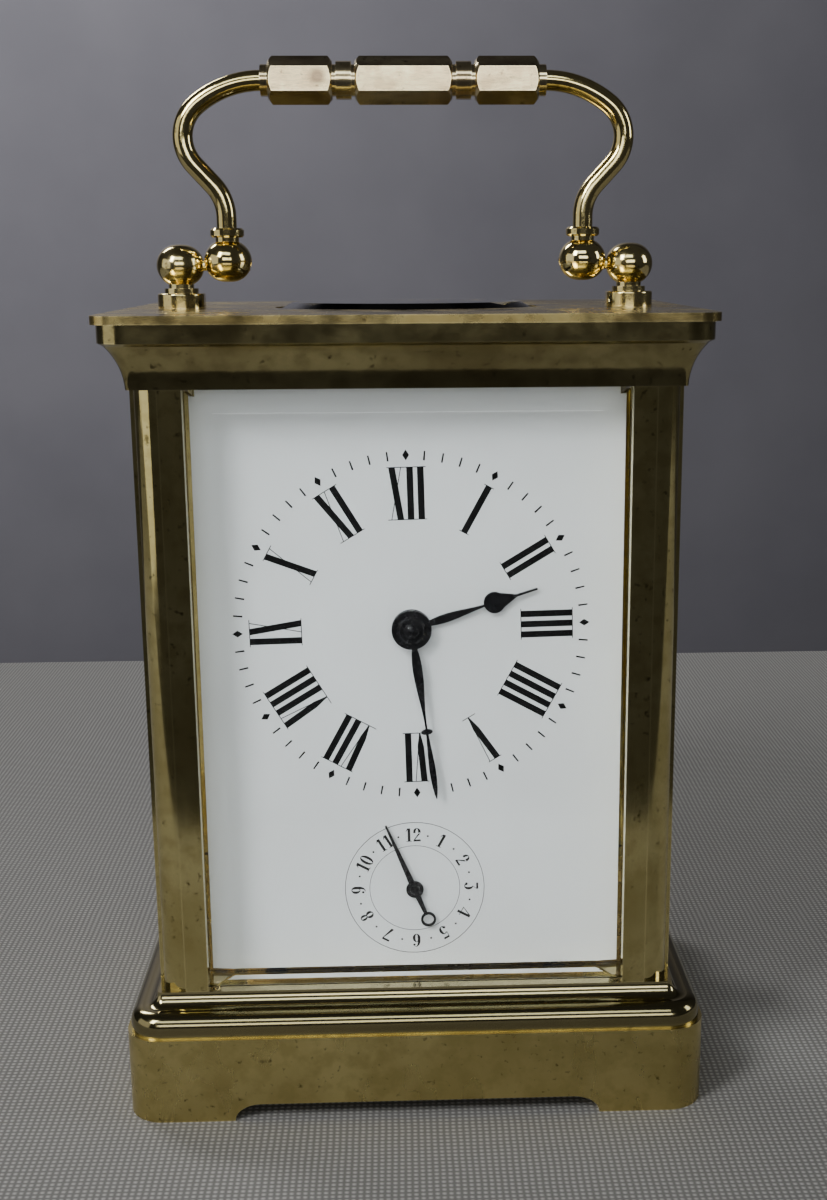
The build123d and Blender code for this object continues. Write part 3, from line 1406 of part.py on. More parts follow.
# Bell on its post behind the back plate
bell_mouth = plate_back_y + bell_setback
with BuildPart() as bell:
    with BuildSketch(Plane.XY.offset(bell_centre[1])) as half:
        with Locations((bell_x, bell_mouth)):
            Ellipse(bell_radius, bell_depth)
            Ellipse(bell_radius - bell_wall, bell_depth - bell_wall, mode=Mode.SUBTRACT)
            Rectangle(2 * bell_radius, 2 * bell_depth, align=(Align.CENTER, Align.MAX), mode=Mode.SUBTRACT)
            Rectangle(2 * bell_radius, 2 * bell_depth, align=(Align.MAX, Align.CENTER), mode=Mode.SUBTRACT)
    revolve(half.sketch, axis=Axis((bell_x, 0, bell_centre[1]), (0, 1, 0)))
    disc(bell_centre, bell_mouth + bell_depth, bell_depth, arbor_radius + fit_gap, mode=Mode.SUBTRACT)
finish(bell, "bell")
with BuildPart() as bell_post:
    disc(bell_centre, bell_mouth + bell_depth - bell_wall - fit_gap,
         bell_mouth + bell_depth - bell_wall - fit_gap - plate_back_y, bell_post_radius)
    disc(bell_centre, bell_mouth + bell_depth + hub_wall, bell_wall + hub_wall + plate_thickness,
         arbor_radius)
    disc(bell_centre, bell_mouth + bell_depth + hub_wall, hub_wall - fit_gap, bell_nut_radius)
finish(bell_post, "bell_post")

# Platform: the plate on top of the movement, with the bracket for the lower escape pivot
escape_place = (escape_x, escape_y)
lever_place = (lever_x, escape_y)
potence_top = platform_bottom - potence_drop + potence_thickness
post_back = escape_y - escape_pinion_radius - potence_back_gap
escape_foot = (escape_x - escape_radius - cock_radius - escape_gap, escape_y)
pallet_foot = (escape_x + cock_radius + escape_gap, escape_y - escape_radius - 2 * cock_radius)
balance_foot = (balance_x + cock_foot_distance, escape_y)
with BuildPart() as platform:
    with BuildSketch(level(platform_bottom)):
        with Locations((0, (plate_front_y + plate_back_y) / 2)):
            Rectangle(2 * platform_half_width, plate_back_y - plate_front_y)
        with Locations(escape_place):
            Circle(platform_hole_radius, mode=Mode.SUBTRACT)
        with Locations(lever_place, balance_place):
            Circle(fine_pivot_radius + fine_gap, mode=Mode.SUBTRACT)
        with Locations(*[
            (side * platform_screw_spread, y) for side in (-1, 1)
            for y in (plate_front_y + plate_thickness / 2, plate_back_y - plate_thickness / 2)
        ]):
            Circle(platform_screw_radius + fit_gap / 2, mode=Mode.SUBTRACT)
    extrude(amount=platform_thickness)
    with BuildSketch(level(platform_bottom - potence_drop)):
        with Locations((escape_x, post_back)):
            Rectangle(potence_width, 2 * potence_thickness, align=(Align.CENTER, Align.MAX))
    extrude(amount=potence_drop)
    with BuildSketch(level(platform_bottom - potence_drop)):
        with Locations((escape_x, escape_y + potence_thickness / 2)):
            Rectangle(potence_width, escape_y + potence_thickness - post_back,
                      align=(Align.CENTER, Align.MAX))
        with Locations(escape_place):
            Circle(fine_pivot_radius + fine_gap, mode=Mode.SUBTRACT)
    extrude(amount=potence_thickness)
finish(platform, "platform")

# Escape wheel and its pinion, standing upright through the platform
escape_bottom = platform_top + escape_gap
cock_under = platform_top + escape_cock_lift
with BuildPart() as escape_wheel:
    toothed(escape_place, escape_teeth, escape_radius - escape_tooth_depth, escape_radius,
            leaf_root_width_share, leaf_tip_width_share, 0, level(escape_bottom), escape_thickness)
    pinion(escape_place, escape_pinion_leaves, contrate_module,
           quarter_turn + half_turn / escape_pinion_leaves,
           level(contrate_centre[1] + contrate_radius - 2 * crown_tooth_length), 4 * crown_tooth_length)
    drum(escape_place, potence_top + fine_gap, cock_under - potence_top - 2 * fine_gap, escape_arbor_radius)
    drum(escape_place, potence_top - potence_thickness, cock_under + cock_thickness - potence_top
         + potence_thickness, fine_pivot_radius)
finish(escape_wheel, "escape_wheel")

# Pallet lever between the escape wheel and the balance
fork_reach = balance_distance - roller_radius - escapement_gap
stone_radius = escape_radius + pallet_reach
stones = [polar(escape_place, stone_radius, side * pallet_angle) for side in (-1, 1)]
with BuildPart() as pallet_lever:
    with BuildSketch(level(escape_bottom)) as lever_shape:
        with Locations(lever_place):
            Circle(2 * pallet_size)
            Rectangle(fork_reach, lever_width, align=(Align.MIN, Align.CENTER))
        with Locations((lever_x + fork_reach - lever_width / 2, escape_y)):
            Rectangle(lever_width, 2 * lever_width)
        for stone in stones:
            turn = math.degrees(math.atan2(stone[1] - escape_y, stone[0] - lever_x))
            with Locations(Location((lever_x, escape_y, 0), (0, 0, turn))):
                Rectangle(math.dist(stone, lever_place), lever_width, align=(Align.MIN, Align.CENTER))
        with Locations(*stones):
            Circle(pallet_size)
    extrude(lever_shape.sketch, amount=lever_thickness)
    drum(lever_place, platform_top + fine_gap, cock_under - platform_top - 2 * fine_gap, escape_arbor_radius)
    drum(lever_place, platform_bottom + fine_gap, cock_under + cock_thickness - platform_bottom,
         fine_pivot_radius)
finish(pallet_lever, "pallet_lever")

# Cock over the escape wheel and the pallets
with BuildPart() as escape_cock:
    with BuildSketch(level(cock_under)) as bridge:
        with Locations(escape_foot, lever_place, pallet_foot):
            Circle(cock_radius)
        make_hull()
        with Locations(escape_place, lever_place):
            Circle(fine_pivot_radius + fine_gap, mode=Mode.SUBTRACT)
    extrude(bridge.sketch, amount=cock_thickness)
    for foot in (escape_foot, pallet_foot):
        drum(foot, platform_top, escape_cock_lift + cock_thickness, cock_radius)
finish(escape_cock, "escape_cock")

# Balance wheel on its staff, with the roller and impulse pin below
with BuildPart() as balance_wheel:
    drum(balance_place, balance_bottom, balance_thickness, balance_radius)
    crossings(balance_place, level(balance_bottom), balance_thickness, balance_radius - balance_rim,
              balance_rim, 2, balance_rim)
    drum(balance_place, platform_top + fine_gap, cock_bottom - platform_top - 2 * fine_gap,
         escape_arbor_radius)
    drum(balance_place, platform_bottom + fine_gap, cock_bottom + cock_thickness - platform_bottom,
         fine_pivot_radius)
    drum(balance_place, escape_bottom, lever_thickness, roller_radius)
    drum(balance_place, balance_bottom + balance_thickness + hairspring_lift, hairspring_height,
         hairspring_core - hairspring_thickness)
finish(balance_wheel, "balance_wheel")
spring_bottom = balance_bottom + balance_thickness + hairspring_lift
with BuildPart() as hairspring:
    spiral(level(spring_bottom), balance_place, hairspring_core, hairspring_reach, hairspring_turns,
           hairspring_thickness, hairspring_height, 16)
finish(hairspring, "hairspring")

# Balance cock with the stud that holds the outer end of the hairspring
with BuildPart() as balance_cock:
    with BuildSketch(level(cock_bottom)) as cock_arm:
        with Locations(balance_place):
            Circle(balance_cock_radius)
        with Locations(balance_foot):
            Circle(cock_foot_radius)
        make_hull()
        with Locations(balance_place):
            Circle(fine_pivot_radius + fine_gap, mode=Mode.SUBTRACT)
    extrude(cock_arm.sketch, amount=balance_cock_thickness)
    drum(balance_foot, platform_top, balance_cock_lift, cock_foot_radius - case_gap)
    stud_place = (balance_x + hairspring_reach + stud_radius, escape_y)
    drum(stud_place, spring_bottom, cock_bottom - spring_bottom, stud_radius)
    drum(balance_place, cock_top, regulator_thickness, regulator_hole - running_gap, fine_pivot_radius)
finish(balance_cock, "balance_cock")

# Regulator index on top of the cock, with its curb pins reaching down beside the spring
with BuildPart() as regulator_index:
    with BuildSketch(level(cock_top + fine_gap)) as index:
        with Locations(balance_place):
            Circle(regulator_radius)
            Rectangle(regulator_length, regulator_width, align=(Align.MIN, Align.CENTER))
            Rectangle(curb_distance + curb_radius, regulator_width, align=(Align.MAX, Align.CENTER))
            Circle(regulator_hole, mode=Mode.SUBTRACT)
    extrude(index.sketch, amount=regulator_thickness)
    for side in (-1, 1):
        drum((balance_x - curb_distance, escape_y + side * 2 * curb_radius), spring_bottom,
             cock_top + fine_gap - spring_bottom, curb_radius)
finish(regulator_index, "regulator_index")
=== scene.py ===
import bmesh
import bpy
import math
from mathutils import Matrix, Vector


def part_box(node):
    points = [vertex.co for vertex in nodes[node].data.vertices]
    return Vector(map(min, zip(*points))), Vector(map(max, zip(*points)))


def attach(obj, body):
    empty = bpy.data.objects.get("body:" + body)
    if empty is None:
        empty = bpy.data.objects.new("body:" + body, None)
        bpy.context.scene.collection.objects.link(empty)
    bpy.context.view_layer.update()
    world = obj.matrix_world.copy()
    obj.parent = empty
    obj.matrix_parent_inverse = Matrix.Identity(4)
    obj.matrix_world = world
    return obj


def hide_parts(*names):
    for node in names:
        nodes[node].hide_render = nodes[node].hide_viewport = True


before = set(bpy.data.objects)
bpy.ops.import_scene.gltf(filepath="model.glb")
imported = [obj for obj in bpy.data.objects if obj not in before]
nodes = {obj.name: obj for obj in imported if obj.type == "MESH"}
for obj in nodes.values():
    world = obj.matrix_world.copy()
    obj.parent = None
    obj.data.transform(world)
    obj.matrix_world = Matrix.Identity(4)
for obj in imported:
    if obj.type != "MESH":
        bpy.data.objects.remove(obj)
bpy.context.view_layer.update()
mm = 0.001
bpy.ops.object.select_all(action="DESELECT")

# The photographer's camera. It stood a little to the left of the clock's middle, at the height of
# the cornice, and looked down by about fourteen degrees. Its place, tilt, lens and shift were fitted
# to points of the clock.
yaw, pitch, roll = math.radians(2.274), math.radians(13.69), math.radians(-0.281)
forward = Vector((math.sin(yaw) * math.cos(pitch), math.cos(yaw) * math.cos(pitch), -math.sin(pitch)))
level_right = forward.cross(Vector((0, 0, 1))).normalized()
level_up = level_right.cross(forward)
right = level_right * math.cos(roll) + level_up * math.sin(roll)
up = level_up * math.cos(roll) - level_right * math.sin(roll)
bpy.ops.object.camera_add()
camera = bpy.context.object
camera.name = "camera"
camera.matrix_world = Matrix.Translation((-1.53 * mm, -271.4 * mm, 137.4 * mm)) @ Matrix(
    (right, up, -forward)).transposed().to_4x4()
camera.data.lens = 47.27
camera.data.shift_x = -0.0412
camera.data.shift_y = 0.0333
camera.data.clip_start = 0.01
bpy.context.scene.camera = camera


# Helpers: the nodes of a material, and the vertices of a mesh in edit mode.
def new_material(name):
    """A material with its shader, ready for the nodes that drive it."""
    material = bpy.data.materials.new(name)
    material.use_nodes = True
    return material, material.node_tree, material.node_tree.nodes["Principled BSDF"]


def add(tree, kind, **settings):
    """A node of a kind, with its settings, and its numbered or named inputs under 'values'."""
    node = tree.nodes.new("ShaderNode" + kind)
    for key, value in settings.pop("values", {}).items():
        node.inputs[key].default_value = value
    for key, value in settings.items():
        setattr(node, key, value)
    return node


def ramp(tree, source, low, high, low_colour=(0, 0, 0, 1), high_colour=(1, 1, 1, 1)):
    """A colour ramp between two stops, fed by a source."""
    node = tree.nodes.new("ShaderNodeValToRGB")
    node.color_ramp.elements[0].position, node.color_ramp.elements[1].position = low, high
    node.color_ramp.elements[0].color, node.color_ramp.elements[1].color = low_colour, high_colour
    tree.links.new(source, node.inputs["Fac"])
    return node.outputs["Color"]


def fade(tree, source, start, stop, most=1.0):
    """Grows from nothing to its most between two values; a colour ramp is too coarse for millimetres."""
    node = add(tree, "MapRange", values={"From Min": start, "From Max": stop, "To Max": most})
    tree.links.new(source, node.inputs["Value"])
    return node.outputs["Result"]


def noise(tree, scale, detail=4.0, stretch=(1, 1, 1)):
    """Noise in the object's own metres; stretch draws it out along an axis."""
    place = add(tree, "TexCoord")
    spread = add(tree, "Mapping", values={"Scale": stretch})
    texture = add(tree, "TexNoise", values={"Scale": scale, "Detail": detail})
    tree.links.new(place.outputs["Object"], spread.inputs["Vector"])
    tree.links.new(spread.outputs["Vector"], texture.inputs["Vector"])
    return texture.outputs["Fac"]


def edge_wear(tree, width):
    """White along the worn edges: where a rounded normal leaves the true one."""
    rounded = add(tree, "Bevel", samples=4, values={"Radius": width})
    true = add(tree, "NewGeometry")
    product = add(tree, "VectorMath", operation="DOT_PRODUCT")
    tree.links.new(rounded.outputs["Normal"], product.inputs[0])
    tree.links.new(true.outputs["Normal"], product.inputs[1])
    return ramp(tree, product.outputs["Value"], 0.90, 0.995, (1, 1, 1, 1), (0, 0, 0, 1))


def mix(tree, share, first, second):
    """Two colours, each a link or a plain colour, mixed by a share."""
    node = add(tree, "Mix", data_type="RGBA")
    tree.links.new(share, node.inputs["Factor"])
    for socket, value in ((node.inputs[6], first), (node.inputs[7], second)):
        if isinstance(value, tuple):
            socket.default_value = value
        else:
            tree.links.new(value, socket)
    return node.outputs[2]


def bump(tree, shader, height, strength, distance):
    """Raises the surface by a height that runs from nothing to one."""
    node = add(tree, "Bump", values={"Strength": strength, "Distance": distance})
    tree.links.new(height, node.inputs["Height"])
    tree.links.new(node.outputs["Normal"], shader.inputs["Normal"])
    return node


def pick(test):
    """Selects the vertices of the mesh in hand that pass a test of their place."""
    mesh = bmesh.from_edit_mesh(bpy.context.object.data)
    for vertex in mesh.verts:
        vertex.select_set(test(vertex.co))
    mesh.select_flush_mode()
    bmesh.update_edit_mesh(bpy.context.object.data)


def begin():
    """Starts to edit the mesh of the object in hand, by its vertices."""
    bpy.ops.object.mode_set(mode="EDIT")
    bpy.ops.mesh.select_mode(type="VERT")


def end():
    """Ends the edit and returns the object."""
    bpy.ops.object.mode_set(mode="OBJECT")
    return bpy.context.object


# The table under the clock: a board covered with pale linen, whose far edge shows behind the clock.
# The weave is two crossed waves of thread, each about half a millimetre wide.
table_front, table_back, table_width, table_thickness = -0.165, 0.268, 2.4, 0.02
linen, tree, shader = new_material("pale_linen")
place = add(tree, "TexCoord")
weave = add(tree, "Math", operation="MULTIPLY")
for side, slot_index in (("X", 0), ("Y", 1)):
    thread = add(tree, "TexWave", bands_direction=side, wave_profile="SIN",
                 values={"Scale": 300, "Distortion": 1.2, "Detail": 2.0, "Detail Scale": 0.3})
    tree.links.new(place.outputs["Object"], thread.inputs["Vector"])
    tree.links.new(thread.outputs["Fac"], weave.inputs[slot_index])
cloth_colour = ramp(tree, weave.outputs[0], 0.0, 0.8, (0.15, 0.146, 0.138, 1), (0.34, 0.332, 0.315, 1))
tree.links.new(cloth_colour, shader.inputs["Base Color"])
shader.inputs["Roughness"].default_value = 0.95
shader.inputs["Specular IOR Level"].default_value = 0.15
bump(tree, shader, weave.outputs[0], 0.35, 0.0004)
bpy.ops.mesh.primitive_plane_add(size=1)
table = bpy.context.object
table.name = "table"
begin()
for side, edge in ((1, table_back), (-1, table_front)):
    pick(lambda place: place.y * side > 0.4)
    bpy.ops.transform.translate(value=(0, edge - side / 2, 0))
bpy.ops.mesh.select_all(action="SELECT")
bpy.ops.transform.resize(value=(table_width, 1, 1), center_override=(0, 0, 0))
bpy.ops.mesh.extrude_region_move(TRANSFORM_OT_translate={"value": (0, 0, -table_thickness)})
bpy.ops.mesh.select_all(action="SELECT")
bpy.ops.mesh.normals_make_consistent(inside=False)
end()
table.data.materials.append(linen)

# The wall behind the table: plain painted grey, too far off to show its plaster.
wall_paint, tree, shader = new_material("grey_wall")
tree.links.new(ramp(tree, noise(tree, 6), 0.35, 0.7, (0.150, 0.146, 0.164, 1), (0.172, 0.167, 0.186, 1)),
               shader.inputs["Base Color"])
shader.inputs["Roughness"].default_value = 0.9
bpy.ops.mesh.primitive_plane_add(size=5, location=(0, 1.9, 0.4), rotation=(math.pi / 2, 0, 0))
wall = bpy.context.object
wall.name = "wall"
bpy.ops.object.transform_apply(location=True, rotation=True)
wall.data.materials.append(wall_paint)

# The light: a bright strip of window behind the photographer, just above the horizon, which the
# upright faces high on the handle mirror; a window above it, whose light the cornice keeps off the
# dial's top; and a window on the left, whose light the left pillar keeps off the dial's edge. A pale
# wall on the left and a small window on the right fill the shadows, and one lamp washes the wall
# behind. Between them the room is dim, so the polished brass has bright bands and dark ones.
for name, place, aim, size, power, tint in (
    ("window_strip", (0.0, -1.70, 0.50), (0, 0, 0.20), (1.3, 0.40), 6.0, (0.98, 0.99, 1.0)),
    ("window_high", (-0.10, -0.95, 0.98), (0, 0, 0.10), (0.80, 0.30), 2.6, (0.90, 0.95, 1.0)),
    ("window_left", (-0.38, -0.42, 0.50), (0, 0, 0.08), (0.16, 0.28), 3.2, (0.97, 0.98, 1.0)),
    ("pale_wall", (-1.30, -0.50, 0.30), (0, 0, 0.10), (1.2, 1.0), 2.8, (1.0, 0.98, 0.93)),
    ("window_right", (0.85, -0.15, 0.40), (0, 0, 0.08), (0.25, 0.45), 1.6, (0.96, 0.98, 1.0)),
    ("wall_wash", (-0.9, 1.0, 1.3), (-0.2, 1.9, 0.2), (0.6, 0.6), 33.0, (0.98, 0.98, 1.0)),
):
    bpy.ops.object.light_add(type="AREA", location=place)
    lamp = bpy.context.object
    lamp.name = name
    lamp.data.shape = "RECTANGLE"
    lamp.data.size, lamp.data.size_y = size
    lamp.data.energy = power
    lamp.data.color = tint
    lamp.rotation_euler = (Vector(aim) - Vector(place)).to_track_quat("-Z", "Y").to_euler()
room = bpy.data.worlds.new("dim_room")
bpy.context.scene.world = room
room.use_nodes = True
room.node_tree.nodes["Background"].inputs["Color"].default_value = (0.30, 0.30, 0.31, 1)
room.node_tree.nodes["Background"].inputs["Strength"].default_value = 0.12


# The case: cast and drawn brass, polished and lacquered, about a hundred and thirty years old. The
# base, four pillars, cornice and top plate are screwed together from below and above. The lacquer
# has gone brown in patches, and edges are rubbed. The cornice and the base's moulding are darker,
# partly from browner lacquer where no cloth reaches, partly as painted shade.
def brass(name, bright, brown, smooth, dull, grain=(1, 1, 1), patches=0.62, wear=0.35):
    """Lacquered brass: a bright colour, browner patches, fine scratches and rubbed edges."""
    material, tree, shader = new_material(name)
    patch = ramp(tree, noise(tree, 55, 6), patches - 0.22, patches + 0.16)
    colour = mix(tree, patch, bright, brown)
    mottle = ramp(tree, noise(tree, 380, 4), 0.44, 0.64, (0, 0, 0, 1), (0.55, 0.55, 0.55, 1))
    colour = mix(tree, mottle, colour, brown)
    specks = ramp(tree, noise(tree, 900, 2), 0.64, 0.78)
    colour = mix(tree, specks, colour, tuple(0.45 * c for c in brown[:3]) + (1,))
    rubbed = (min(1, 1.25 * bright[0]), min(1, 1.25 * bright[1]), 1.35 * bright[2], 1)
    colour = mix(tree, edge_wear(tree, wear * mm), colour, rubbed)
    tree.links.new(colour, shader.inputs["Base Color"])
    shader.inputs["Metallic"].default_value = 1.0
    haze = ramp(tree, noise(tree, 160, 5, grain), 0.35, 0.72, (smooth,) * 3 + (1,), (dull,) * 3 + (1,))
    tree.links.new(haze, shader.inputs["Roughness"])
    bump(tree, shader, noise(tree, 700, 5, grain), 0.16, 0.0001)
    return material


def dress(material, *names):
    """Gives CAD nodes a material in place of their plain one."""
    for name in names:
        nodes[name].data.materials.clear()
        nodes[name].data.materials.append(material)


pillar_brass = brass("pillar_brass", (0.76, 0.66, 0.30, 1), (0.50, 0.41, 0.15, 1), 0.09, 0.15,
                     grain=(1, 1, 0.12))
plate_brass = brass("plate_brass", (0.70, 0.58, 0.25, 1), (0.44, 0.33, 0.12, 1), 0.16, 0.34,
                    patches=0.55)
# The cornice gets a darker copy of the brass: partly browner patina, partly painted shade for the dim room
# and table that its faces mirror.
cornice_brass = brass("cornice_brass", (0.52, 0.45, 0.21, 1), (0.26, 0.21, 0.09, 1), 0.12, 0.18)
base_brass = brass("base_brass", (0.70, 0.59, 0.25, 1), (0.46, 0.37, 0.13, 1), 0.26, 0.31,
                   grain=(1, 1, 0.4), patches=0.56, wear=0.12)
# Painted shade, in part browner lacquer: from 14.3 mm up the base's brass is darkened, and from 18.6 mm up
# it is a less dark brown, where the moulding mirrors the dim room.
moulding_start, moulding_full = 14.3 * mm, 15.3 * mm
lip_start, lip_full = 18.6 * mm, 19.2 * mm
tree = base_brass.node_tree
shader = tree.nodes["Principled BSDF"]
clean = shader.inputs["Base Color"].links[0].from_socket
height = add(tree, "SeparateXYZ")
tree.links.new(add(tree, "TexCoord").outputs["Object"], height.inputs[0])
for low, high, darker_tone in (
    (moulding_start, moulding_full, (0.28, 0.24, 0.12, 1)),
    (lip_start, lip_full, (0.42, 0.36, 0.19, 1)),
):
    clean = mix(tree, fade(tree, height.outputs["Z"], low, high), clean, darker_tone)
tree.links.new(clean, shader.inputs["Base Color"])
rough = shader.inputs["Roughness"].links[0].from_socket
in_moulding = fade(tree, height.outputs["Z"], moulding_start, moulding_full)
tree.links.new(mix(tree, in_moulding, rough, (0.13, 0.13, 0.13, 1)), shader.inputs["Roughness"])
dress(base_brass, "base_moulding")
dress(cornice_brass, "cornice")
dress(pillar_brass, "pillar_front_left", "pillar_front_right", "pillar_rear_left", "pillar_rear_right",
      "door_frame")
dress(plate_brass, "top_plate", "base_plate")

# The handle: two bent rods with ball ends, a six-sided grip between them, and the posts that carry
# it. It is handled every day, so the brass is smoother, with one brown finger spot on the grip.
handle_brass = brass("handle_brass", (0.78, 0.66, 0.32, 1), (0.56, 0.45, 0.17, 1), 0.08, 0.18)
grip_brass = brass("grip_brass", (0.80, 0.69, 0.40, 1), (0.46, 0.33, 0.19, 1), 0.14, 0.26,
                   grain=(0.25, 1, 1), patches=0.66)
tree = grip_brass.node_tree
shader = tree.nodes["Principled BSDF"]
clean = shader.inputs["Base Color"].links[0].from_socket
spot_place = (-13.9 * mm, -3.3 * mm, 165.6 * mm)
from_spot = add(tree, "VectorMath", operation="DISTANCE", values={1: spot_place})
tree.links.new(add(tree, "TexCoord").outputs["Object"], from_spot.inputs[0])
spot = fade(tree, from_spot.outputs["Value"], 1.7 * mm, 0.7 * mm, 0.75)
tree.links.new(mix(tree, spot, clean, (0.16, 0.10, 0.07, 1)), shader.inputs["Base Color"])
dress(handle_brass, "handle_post_left", "handle_post_right", "handle_arm_left", "handle_arm_right",
      "door_knob")
dress(grip_brass, "handle_grip")

# The glass: thick plate panes, ground to a wide polished bevel all round and let into grooves. Old
# crown glass is faintly green and carries a little dust and a few fine scratches.
glass, tree, shader = new_material("bevelled_glass")
shader.inputs["Base Color"].default_value = (0.975, 0.99, 0.98, 1)
shader.inputs["Transmission Weight"].default_value = 1.0
shader.inputs["IOR"].default_value = 1.5
scratches = ramp(tree, noise(tree, 420, 6, (1, 1, 0.2)), 0.55, 0.85, (0, 0, 0, 1), (0.05, 0.05, 0.05, 1))
tree.links.new(scratches, shader.inputs["Roughness"])
bump(tree, shader, noise(tree, 30, 2), 0.02, 0.0002)
clear = add(tree, "BsdfTransparent")
clear.inputs["Color"].default_value = (0.95, 0.96, 0.955, 1)
light_path = add(tree, "LightPath")
choose = add(tree, "MixShader")
tree.links.new(light_path.outputs["Is Shadow Ray"], choose.inputs[0])
tree.links.new(shader.outputs[0], choose.inputs[1])
tree.links.new(clear.outputs[0], choose.inputs[2])
tree.links.new(choose.outputs[0], tree.nodes["Material Output"].inputs["Surface"])
dress(glass, "side_glasses", "door_glass", "top_glass")

# The front pane: its rim stands thin in the grooves, and from the pillars inward it is ground to a
# bevel 4.4 mm wide, with softly rounded arrises that catch the light.
pane_low, pane_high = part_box("front_glass")
pane_middle = (pane_low + pane_high) / 2
pane_half = (pane_high - pane_low) / 2
rim_thickness, arris_width, arris_angle = 1.0 * mm, 0.22 * mm, math.radians(8)
bevel_outer, bevel_inner = (-34.0, 34.0, 20.6, 118.2), (-29.6, 29.6, 23.2, 114.6)
bpy.ops.mesh.primitive_cube_add(size=2)
begin()
bpy.ops.mesh.select_all(action="SELECT")
bpy.ops.transform.resize(value=(pane_half.x, rim_thickness / 2, pane_half.z), center_override=(0, 0, 0))
bpy.ops.transform.translate(value=(pane_middle.x, pane_high.y - rim_thickness / 2, pane_middle.z))
pick(lambda place: place.y < pane_high.y - rim_thickness / 2)
before = (pane_low.x, pane_high.x, pane_low.z, pane_high.z)
for loop, rise in ((bevel_outer, 0.0), (bevel_inner, (pane_high.y - rim_thickness - pane_low.y) / mm)):
    after = tuple(edge * mm for edge in loop)
    bpy.ops.mesh.extrude_region_move()
    bpy.ops.transform.resize(value=((after[1] - after[0]) / (before[1] - before[0]), 1,
                                    (after[3] - after[2]) / (before[3] - before[2])),
                             center_override=((before[0] + before[1]) / 2, 0, (before[2] + before[3]) / 2))
    bpy.ops.transform.translate(value=((sum(after[:2]) - sum(before[:2])) / 2, -rise * mm,
                                       (sum(after[2:]) - sum(before[2:])) / 2))
    before = after
pane = end()
pane.name = "bevelled_pane"
arris = pane.modifiers.new("arris", "BEVEL")
arris.width = arris_width
arris.segments = 3
arris.limit_method = "ANGLE"
arris.angle_limit = arris_angle
bpy.ops.object.modifier_apply(modifier="arris")
pane.data.materials.append(glass)
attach(pane, "case")
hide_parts("front_glass")

# The dial: a copper plate under fired white enamel, smooth and glossy, faintly greyer in random
# patches. Everything on it is fired black, and stands only 0.015 mm proud.
enamel, tree, shader = new_material("white_enamel")
tree.links.new(ramp(tree, noise(tree, 40, 5), 0.40, 0.75, (0.78, 0.80, 0.81, 1), (0.72, 0.735, 0.74, 1)),
               shader.inputs["Base Color"])
shader.inputs["Roughness"].default_value = 0.22
shader.inputs["Coat Weight"].default_value = 0.6
shader.inputs["Coat Roughness"].default_value = 0.06
bump(tree, shader, noise(tree, 120, 2), 0.03, 0.0001)
dress(enamel, "dial")

print_black, tree, shader = new_material("fired_black")
tree.links.new(ramp(tree, noise(tree, 1500, 3), 0.35, 0.75, (0.002,) * 3 + (1,), (0.008,) * 3 + (1,)),
               shader.inputs["Base Color"])
shader.inputs["Roughness"].default_value = 0.60
shader.inputs["Specular IOR Level"].default_value = 0.08
bump(tree, shader, noise(tree, 2500, 2), 0.05, 0.00002)

dial_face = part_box("dial")[0].y
dial_centre = Vector((0, dial_face, 79.6 * mm))
alarm_centre = Vector((0, dial_face, 35.1 * mm))
print_turn = 1.2
print_thickness = 0.015 * mm


def stroke(foot, head, foot_width, head_width):
    """A pen stroke on the flat, in millimetres, from its foot to its head."""
    bpy.ops.mesh.primitive_plane_add(size=1)
    begin()
    for side, (x, y), width in ((1, head, head_width), (-1, foot, foot_width)):
        pick(lambda place: place.y * side > 0.4)
        bpy.ops.transform.resize(value=(width * mm, 1, 1), center_override=(0, 0, 0))
        bpy.ops.transform.translate(value=(x * mm, y * mm - side / 2, 0))
    return end()


def bowl(centre, half_width, half_height, thick, thin, start=0, stop=360):
    """A round stroke, thick at its sides and thin at its top and foot, kept between two angles."""
    bpy.ops.mesh.primitive_circle_add(vertices=48, radius=1)
    begin()
    bpy.ops.mesh.select_all(action="SELECT")
    bpy.ops.transform.resize(value=(half_width * mm, half_height * mm, 1), center_override=(0, 0, 0))
    bpy.ops.mesh.extrude_region_move()
    bpy.ops.transform.resize(value=(1 - thick / half_width, 1 - thin / half_height, 1),
                             center_override=(0, 0, 0))
    if stop - start < 360:
        pick(lambda place: (math.degrees(math.atan2(place.y / half_height, place.x / half_width))
                            - start) % 360 > stop - start)
        bpy.ops.mesh.delete(type="VERT")
    bpy.ops.mesh.select_all(action="SELECT")
    bpy.ops.transform.translate(value=(centre[0] * mm, centre[1] * mm, 0))
    return end()


def dot(centre, radius, corners=20):
    """A filled round."""
    bpy.ops.mesh.primitive_circle_add(vertices=corners, radius=radius * mm, fill_type="NGON")
    begin()
    bpy.ops.mesh.select_all(action="SELECT")
    bpy.ops.transform.translate(value=(centre[0] * mm, centre[1] * mm, 0))
    return end()


def together(pieces, name):
    """Joins pieces into one, under a name."""
    bpy.ops.object.select_all(action="DESELECT")
    for piece in pieces:
        piece.select_set(True)
    bpy.context.view_layer.objects.active = pieces[0]
    if len(pieces) > 1:
        bpy.ops.object.join()
    bpy.context.object.name = name
    return bpy.context.object


def stand(piece, centre, angle=0.0):
    """Stands what was drawn flat up against the dial, turned clockwise round a centre."""
    piece.matrix_world = (Matrix.Translation(centre) @ Matrix.Rotation(math.pi / 2, 4, "X")
                          @ Matrix.Rotation(-math.radians(angle), 4, "Z") @ piece.matrix_world)
    bpy.ops.object.select_all(action="DESELECT")
    piece.select_set(True)
    bpy.context.view_layer.objects.active = piece
    bpy.ops.object.transform_apply(location=True, rotation=True, scale=True)
    return piece


